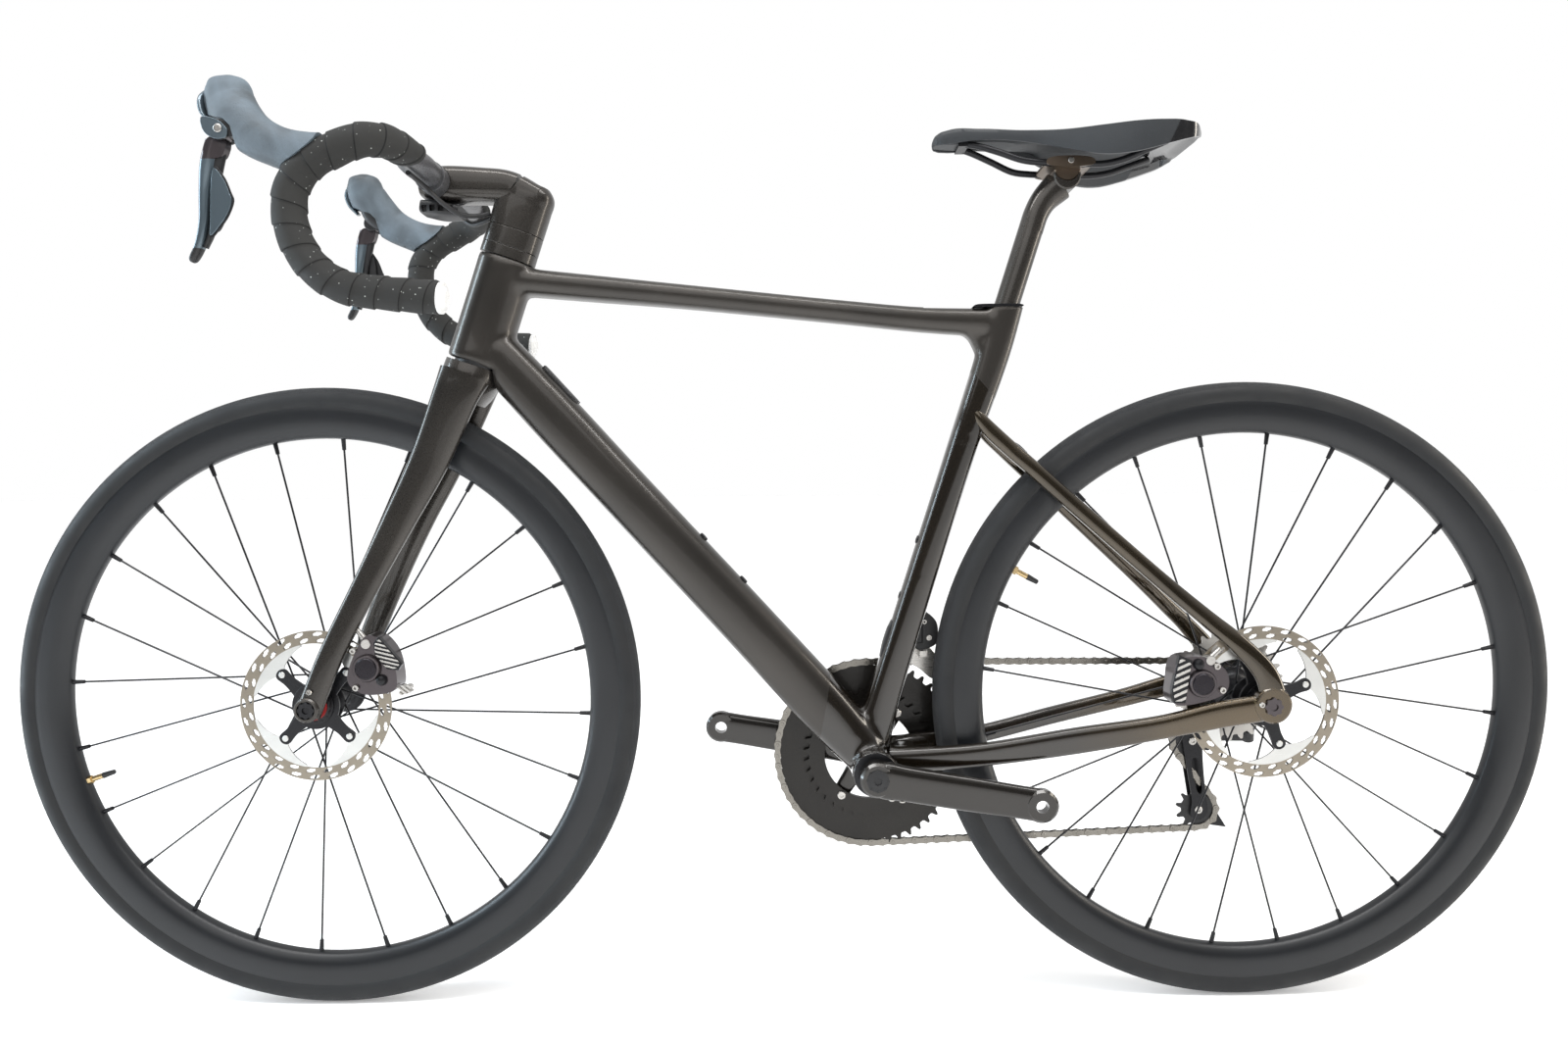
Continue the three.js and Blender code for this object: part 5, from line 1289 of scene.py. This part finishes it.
big_profile = [(52, -1.6), (70, -1.7), (91.4, -1.1), (91.4, 1.1), (70, 1.7), (52, 1.6)]
big_ring = merge(sprocket(52, 2.2, 91, BIG_RING, 0.02), turned(big_profile, BIG_RING, 96))
show("chainring_52", big_ring, "ring", "cranks", "big_chainring", sharp=30)
small_profile = [(51, -1.5), (64.4, -1.2), (64.4, 1.2), (51, 1.5)]
small_ring = merge(sprocket(36, 2.0, 64, SMALL_RING, 0.05), turned(small_profile, SMALL_RING, 96))
show("chainring_36", small_ring, "ring", "cranks", "small_chainring", sharp=30)
ring_bolts = []
for angle in LEG_ANGLES:
    x, z = polar(57, math.radians(angle))
    ring_bolts.append(screw_head((BRACKET[0] + x, -38.8, BRACKET[2] + z), (0, 1, 0), 4.6, 1.8))
show("chainring_bolts", merge(*ring_bolts), "steel", "cranks")

COGS = (11, 12, 13, 14, 15, 17, 19, 21, 24, 27, 30)
COG_Y, COG_GAP = -62.6, 3.38
cogs = []
for i, teeth in enumerate(COGS):
    y = COG_Y + COG_GAP * i
    cogs.append(sprocket(teeth, 1.7, max(17, pitch_radius(teeth) - 16), REAR_AXLE + [0, y, 0], 0.13 * i))
    cogs.append(drum(14, 18.2, y - 1.2, y + 2.1, REAR_AXLE, 32))
show("cassette_cogs", merge(*cogs), "cog", "cogs", "cassette", sharp=30)
cog_leg = plate(about(REAR_AXLE, [(16, -5), (50, -3), (50, 3), (16, 5)]), -34, -30.5)
cog_lock = turned([(13, -66), (16.4, -66), (16.4, -63.6), (13, -63.4)], REAR_AXLE, 48)
show("cassette_spider", merge(around(cog_leg, REAR_AXLE, 6), cog_lock), "black", "cogs", bevel=0.2)


def tangent(start_at, radius, way, end_at, end_radius, end_way):
    """The angles at which a straight run of chain leaves one wheel and meets the next."""
    dx, dz = end_at[0] - start_at[0], end_at[2] - start_at[2]
    swing = math.acos((way * radius - end_way * end_radius) / math.hypot(dx, dz))
    normal = math.atan2(dz, dx) - swing
    return normal + (0 if way > 0 else math.pi), normal + (0 if end_way > 0 else math.pi)


def chain_path():
    """The chain's centre line, sampled finely round its loop."""
    small = pitch_radius(11)
    wheels = [(BIG_RING, pitch_radius(52), 1), (REAR_AXLE + [0, COG_Y, 0], small, 1), (GUIDE, small, -1),
              (TENSION, small, 1)]
    runs = [tangent(*first, *after) for first, after in zip(wheels, wheels[1:] + wheels[:1])]
    path = []
    for i, (centre, radius, way) in enumerate(wheels):
        enter = runs[i - 1][1]
        sweep = runs[i][0] - enter
        while way * sweep < 0:
            sweep += way * 2 * math.pi
        while abs(sweep) > 2 * math.pi:
            sweep -= way * 2 * math.pi
        for share in np.linspace(0, 1, 61):
            x, z = polar(radius, enter + sweep * share)
            path.append(centre + [x, 0, z])
    return np.array(path)


def link_outline():
    """A link plate's waisted outline: a share of its length, and offsets along and across it."""
    outline = []
    for end, facing, waist in ((0, 180, -2.9), (1, 0, 2.9)):
        for angle in np.linspace(-75, 75, 7):
            outline.append((end, *polar(4.15, math.radians(angle + facing))))
        outline.append((0.5, 0, waist))
    return outline


def chain_shape():
    path = chain_path()
    path = np.vstack([path, path[:1]])
    run = np.concatenate([[0], np.cumsum(np.linalg.norm(np.diff(path, axis=0), axis=1))])
    count = 2 * round(run[-1] / CHAIN_PITCH / 2)
    places = np.linspace(0, run[-1], count, endpoint=False)
    pins = np.stack([np.interp(places, run, path[:, i]) for i in range(3)], axis=1)
    shapes, outline = [], link_outline()
    for i, (a, b) in enumerate(zip(pins, np.roll(pins, -1, axis=0))):
        along = unit(b - a)
        up = unit(np.cross(along, AXIS_Y))
        side = np.cross(up, along)
        length = np.linalg.norm(b - a)
        low, high = (2.05, 2.8) if i % 2 else (1.25, 1.95)
        for s in (1, -1):
            ring = [a + along * (end * length + dx) + up * dz + side * s * low for end, dx, dz in outline]
            shapes.append(slab(ring, side * s * (high - low)))
        shapes.append(rod(a - side * 1.3, a + side * 1.3, 3.8, sides=12, edge=0))
        shapes.append(rod(a - side * 3.1, a + side * 3.1, 1.7, sides=10, edge=0.2))
    return merge(*shapes)


show("chain_links", chain_shape(), "chain", "frame", "chain", sharp=30)

# ---------------------------------------------------------------- derailleurs
MOTOR = [(-146, 384), (-164, 387), (-170, 396), (-168, 416), (-152, 426), (-144, 404)]
motor = union(plate(smooth_outline(MOTOR, 5), -34.2, -20), block(-152, -136, -24, -15, 392, 412))
show("front_derailleur_motor", motor, "plastic", "frame", "front_derailleur", bevel=1.2)
motor_bolts = merge(screw_head((-160, -20.5, 397), AXIS_Y, 3.2, 1.6),
                    screw_head((-155, -20.5, 415), AXIS_Y, 2.6, 1.4))
show("front_derailleur_bolts", motor_bolts, "steel", "frame")
CAGE = [(-112, 372.5), (-120, 384), (-140, 388.5), (-160, 384.5), (-172, 372), (-178, 350), (-166, 347),
        (-150, 360), (-130, 368.5)]
cage_line = smooth_outline(CAGE, 5)
front_cage = merge(
    plate(cage_line, -42.2, -40.8),
    plate(cage_line, -54.8, -53.4),
    plate([(-122, 378), (-156, 379), (-157, 384), (-140, 387), (-122, 383)], -54, -41.5),
    plate([(-166, 347.5), (-177.5, 350.5), (-176, 355), (-168, 353)], -54, -41.5),
    block(-159, -150, -41.5, -25, 374, 381.6),
)
show("front_cage_plates", front_cage, "steel", "front_cage", "front_derailleur_cage", bevel=0.4)

REACH = np.array([0.99, 0, -0.148])
TRAVEL = np.array([0, 0.945, -0.327])
PIN = unit(np.cross(REACH, TRAVEL))
LINK_START = np.array([-546.0, -78, 270])
LINK_END = LINK_START + REACH * 59.6 - TRAVEL * 17.1


def on_pin(centre, height):
    return centre + PIN * height


rear_body = merge(
    cross_rod(-500, 304, -85, -78, 8, sides=32, edge=1),
    tube([(-497, -86, 304, 5, 8), (-512, -85, 300, 6.4, 9.5), (-530, -82, 293, 7.4, 9.5),
          station(on_pin(LINK_START, 14.5), 8, 8), station(on_pin(LINK_START, 13.5) + [-7, 0, 0], 6,
                                                           6)], 2.4, 28),
)
show("rear_derailleur_body", rear_body, "plastic", "frame", "rear_derailleur", sharp=45)
HANGER = [(-507, 312), (-493, 312), (-493, 303), (-495, 296), (-505, 296), (-508, 303)]
hanger = merge(cross_rod(-500, 316, -77.7, -74.3, 9.1, sides=40), plate(HANGER, -77.7, -74.3))
show("hanger_blade", hanger, "black", "frame", "derailleur_hanger", bevel=0.4)
eyes = [rod(on_pin(c, -7.5), on_pin(c, 7.5), 7, sides=32, edge=0.8) for c in (LINK_START, LINK_END)]
link = merge(tube([station(LINK_START, 6.4, 7), station(LINK_END, 6.4, 7)], 5, 28), *eyes)
show("derailleur_parallelogram", link, "plastic", "derailleur_link", "rear_derailleur_link", sharp=40)
show("link_pins", rod(on_pin(LINK_START, 7), on_pin(LINK_START, 8.6), 3.2, sides=20), "steel",
     "derailleur_link")
knuckle = merge(
    cross_rod(GUIDE[0], GUIDE[2], -84, -69, 11, sides=48, edge=1.5),
    tube([(-468, -80, 262, 8, 6), (-474, -84, 256, 8, 6), station(on_pin(LINK_END, -12.5), 7, 5),
          station(on_pin(LINK_END, -12.1) + [-6, 0, 0], 6, 4)], 2.4, 24),
)
show("derailleur_p_knuckle", knuckle, "plastic", "derailleur_knuckle", "rear_derailleur_knuckle", sharp=45)
INNER_CAGE = [(-482, 276), (-472, 281), (-461, 275), (-464, 248), (-472, 201), (-471, 181), (-481, 175),
              (-491, 184), (-488, 209), (-485, 240)]
OUTER_CAGE = [(-485, 278), (-472, 283), (-460, 276), (-463, 248), (-471, 201), (-470, 179), (-484, 168),
              (-517, 163), (-500, 190), (-489, 209), (-486, 240)]
WINDOW = [(-480, 244), (-471, 244), (-478, 210), (-484, 210)]
inner_cage = carve(plate(smooth_outline(INNER_CAGE, 5), -58.5, -57.1),
                   plate(smooth_outline(WINDOW, 5), -60, -56))
axles = [cross_rod(p[0], p[2], -67.5, -57.5, 3.5) for p in (GUIDE, TENSION)]
rear_cage = merge(inner_cage, plate(OUTER_CAGE, -68.2, -66.6), *axles)
show("cage_plates", rear_cage, "black", "rear_cage", "rear_derailleur_cage", bevel=0.3)
pulley_bolts = [screw_head((p[0], -57.4, p[2]), AXIS_Y, 4.4, 1.8) for p in (GUIDE, TENSION)]
show("pulley_bolts", merge(*pulley_bolts), "steel", "rear_cage")
for label, body, centre in (("guide", "upper_pulley", GUIDE), ("tension", "lower_pulley", TENSION)):
    web = turned([(4.2, -1.3), (12.4, -1.0), (12.4, 1.0), (4.2, 1.3)], centre, 48)
    disc = merge(sprocket(11, 2.2, 12, centre, 0.2), web, drum(4.2, 7.5, -2.6, 2.6, centre, 32))
    show(label + "_jockey", disc, "plastic", body, label + "_pulley", sharp=30)

# ---------------------------------------------------------------- seat
CLAMP = (-303.0, 903.0)
bed = cross_rod(CLAMP[0], CLAMP[1] + 3, -40, 40, 14.8, sides=64)
NECK = [(-267, 0, 842, 13.2, 13.2), (-273, 0, 860, 13.2, 13.4), (-281, 0, 874, 13.4, 14.4),
        (-296, 0, 889, 13.4, 17)]
saddle_bed = cross_rod(CLAMP[0], CLAMP[1] - 6, -15, 15, 14.5, sides=64, edge=1.5)
post = union(rod(POST_BOTTOM, POST_TOP, POST_RADIUS, sides=48, edge=0), tube(NECK, 2.2, 40), saddle_bed)
post = carve(post, bed, block(-340, -270, -40, 40, 901.8, 940))
show("seatpost_tube", post, "satin", "seat_mast", "seatpost", sharp=40)
rocker = cross_rod(CLAMP[0], CLAMP[1] + 3, -14, 14, 14.4, sides=64, edge=1)
rocker = carve(rocker, block(-340, -270, -40, 40, 910, 940))
WING = [(-327, 905), (-325, 912), (-303, 914), (-281, 912), (-279, 905), (-303, 902.5)]
grooves = [rod((-340, y, 906.5), (-268, y, 908.5), 4.3) for y in (22, -22)]
jaws = carve(union(rocker, plate(smooth_outline(WING, 5), -27, 27)), *grooves)
show("clamp_jaws", jaws, "clamp", "saddle_rocker", "saddle_clamp", bevel=0.5)
clamp_bolts = [screw_head((x, 0, 914), (0, 0, 1), 4.2, 2.6) for x in (-322, -284)]
clamp_bolts += [cross_rod(-303, 909, y, y + 1.5, 3.2) for y in (27, -28.5)]
show("clamp_bolts", merge(*clamp_bolts), "steel", "saddle_rocker")
RAIL = [(-192, 9, 932), (-206, 13, 928.5), (-228, 18, 920.5), (-252, 22, 911), (-270, 22, 908.5),
        (-303, 22, 907.6), (-338, 22, 906.6), (-358, 25, 910), (-384, 31, 919.5), (-406, 36, 928)]
rail = pipe(RAIL, 3.5, 20, 80)
rails = merge(rail, mirrored(rail), block(-197, -187, -14, 14, 928, 936))
show("saddle_rail_pair", rails, "black", "saddle_top", "saddle_rails")
# Each row: X, half width, and the heights of the crown, the shoulder and the skirt's edge.
SADDLE = [(-160.5, 3, 936, 934.5, 932.5), (-162, 8, 940, 937, 931), (-166, 12, 944, 940, 930),
          (-176, 16, 947.5, 943, 930), (-210, 20, 948.5, 943, 933), (-255, 26, 945.5, 940, 929),
          (-295, 42, 943.5, 936, 917), (-330, 60, 943.5, 935, 906), (-358, 68, 944.5, 936, 906),
          (-385, 69, 945.5, 937, 912), (-410, 65, 944.5, 937, 919), (-426, 56, 941, 935, 924),
          (-433, 44, 936, 932, 927)]


def saddle_section(x, half, crown, shoulder, edge):
    """One cross-section: over the top from right to left, down the skirt, and back under the shell."""
    groove = 2.2 * math.exp(-((x + 300) / 70) ** 2)
    top, left_skirt, right_skirt = [], [], []
    for t in np.linspace(-1, 1, 41):
        rise = math.sin(t * math.pi / 2)
        dip = groove * math.exp(-(t * half / 6) ** 2)
        top.append((half * rise, crown - (crown - shoulder) * abs(rise) ** 2.5 - dip))
    for share in (0.25, 0.5, 0.75, 1.0):
        y = half * (1 - 0.02 * share) + 0.6 * math.sin(share * math.pi)
        left_skirt.append((y, shoulder - (shoulder - edge) * share))
        right_skirt.insert(0, (-y, left_skirt[-1][1]))
    inside, height = 0.86 * half - 1.5, min(shoulder - 4, edge + 8)
    rim = 0.93 * half - 1.5
    roof = min(shoulder - 5, max(edge, 931))
    under = [(rim, edge + 0.4), (inside, height), *[(share * half,
                                                     roof) for share in (0.6, 0.3, 0, -0.3, -0.6)],
             (-inside, height), (-rim, edge + 0.4)]
    return [(x, y, z) for y, z in top + left_skirt + under + right_skirt]


def saddle_shape():
    """Padded shell: a crowned top, rounded shoulders, a thin skirt and a hollow underside."""
    table = np.array(SADDLE, float)
    station_x = table[:, 0]
    xs = np.interp(np.linspace(0, len(table) - 1, 110), range(len(table)), station_x)
    i = np.clip(np.searchsorted(-station_x, -xs, side="right") - 1, 0, len(table) - 2)
    width = station_x[i + 1] - station_x[i]
    share = (xs - station_x[i]) / width
    columns = [between(column, np.gradient(column, station_x), i, width, share) for column in table.T[1:]]
    return loft([saddle_section(*row) for row in zip(xs, *columns)])


saddle = show("saddle_pad", saddle_shape(), "saddle", "saddle_top", "saddle", sharp=50)


# ---------------------------------------------------------------- stage, light and camera
FLOOR_GLOW = 0.24


def floor():
    mesh = bpy.data.meshes.new("floor")
    mesh.from_pydata([(-30, -30, 0), (30, -30, 0), (30, 30, 0), (-30, 30, 0)], [], [(0, 1, 2, 3)])
    pale = surface("floor_pale", (0.93, 0.93, 0.93), 0.8, vary=0.01, grain=40.0, bump=0.0)
    shader = pale.node_tree.nodes["Principled BSDF"]
    shader.inputs["Emission Color"].default_value = (1, 1, 1, 1)
    shader.inputs["Emission Strength"].default_value = FLOOR_GLOW
    mesh.materials.append(pale)
    linked("floor", mesh)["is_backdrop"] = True


def studio_sky():
    """White as seen; as light, brightest at the ends and overhead and dimmer on the bicycle's two flanks."""
    world = bpy.data.worlds.new("studio")
    bpy.context.scene.world = world
    world.use_nodes = True
    tree = world.node_tree
    direction = split(tree, "Generated")
    left = ranged(tree, direction["Y"], 0.0, 0.5, 1.0, 0.12)
    right = ranged(tree, direction["Y"], -0.3, -0.8, 1.0, 0.7)
    above = ranged(tree, direction["Z"], 0.25, 0.80, 0.0, 1.0)
    seen = tree.nodes.new("ShaderNodeLightPath").outputs["Is Camera Ray"]
    value = computed(tree, "MULTIPLY", left, right)
    for other in (above, seen):
        value = computed(tree, "MAXIMUM", value, other)
    background = tree.nodes["Background"]
    background.inputs["Color"].default_value = (1, 1, 1, 1)
    tree.links.new(value, background.inputs["Strength"])


def lamp(name, place, target, size, power, color=(1, 1, 1)):
    light = bpy.data.lights.new(name, "AREA")
    light.color = color
    light.energy = power
    light.shape, light.size, light.size_y = "RECTANGLE", *size
    thing = linked(name, light)
    thing.location = place
    way = Vector(target) - Vector(place)
    thing.rotation_mode = "QUATERNION"
    thing.rotation_quaternion = way.to_track_quat("-Z", "Y")
    thing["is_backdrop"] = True


floor()
studio_sky()
lamp("overhead", (0, 1.0, 2.8), (0, 0, 0.5), (4.0, 0.35), 55)
lamp("soft_fill", (0.6, 2.8, 2.4), (0, 0, 0.5), (2.6, 1.6), 17)
lamp("left_strip", (2.8, 0.3, 1.0), (0, 0, 0.6), (0.5, 2.4), 55, (0.72, 0.88, 1.0))
lamp("right_strip", (-2.8, 0.3, 1.0), (0, 0, 0.6), (0.5, 2.4), 30, (1.0, 0.93, 0.82))

# The camera's place and axes are the ones solved for the photograph.
camera = linked("camera", bpy.data.cameras.new("camera"))
camera.data.sensor_width, camera.data.lens = 36, 23.544
camera.data.clip_start, camera.data.clip_end = 0.05, 100
CAMERA_AT = (0.0071155, 1.1205980, 0.5784564)
CAMERA_RIGHT = Vector((-0.99996396, 0.00525922, -0.00666508))
CAMERA_UP = Vector((-0.00689607, -0.04519907, 0.99895420))
CAMERA_VIEW = Vector((-0.00495246, -0.99896416, -0.04523371))
turning = Matrix((CAMERA_RIGHT, CAMERA_UP, -CAMERA_VIEW)).transposed().to_4x4()
camera.matrix_world = Matrix.Translation(CAMERA_AT) @ turning
bpy.context.scene.camera = camera
bpy.context.scene.view_settings.view_transform = "Standard"

low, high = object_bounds()
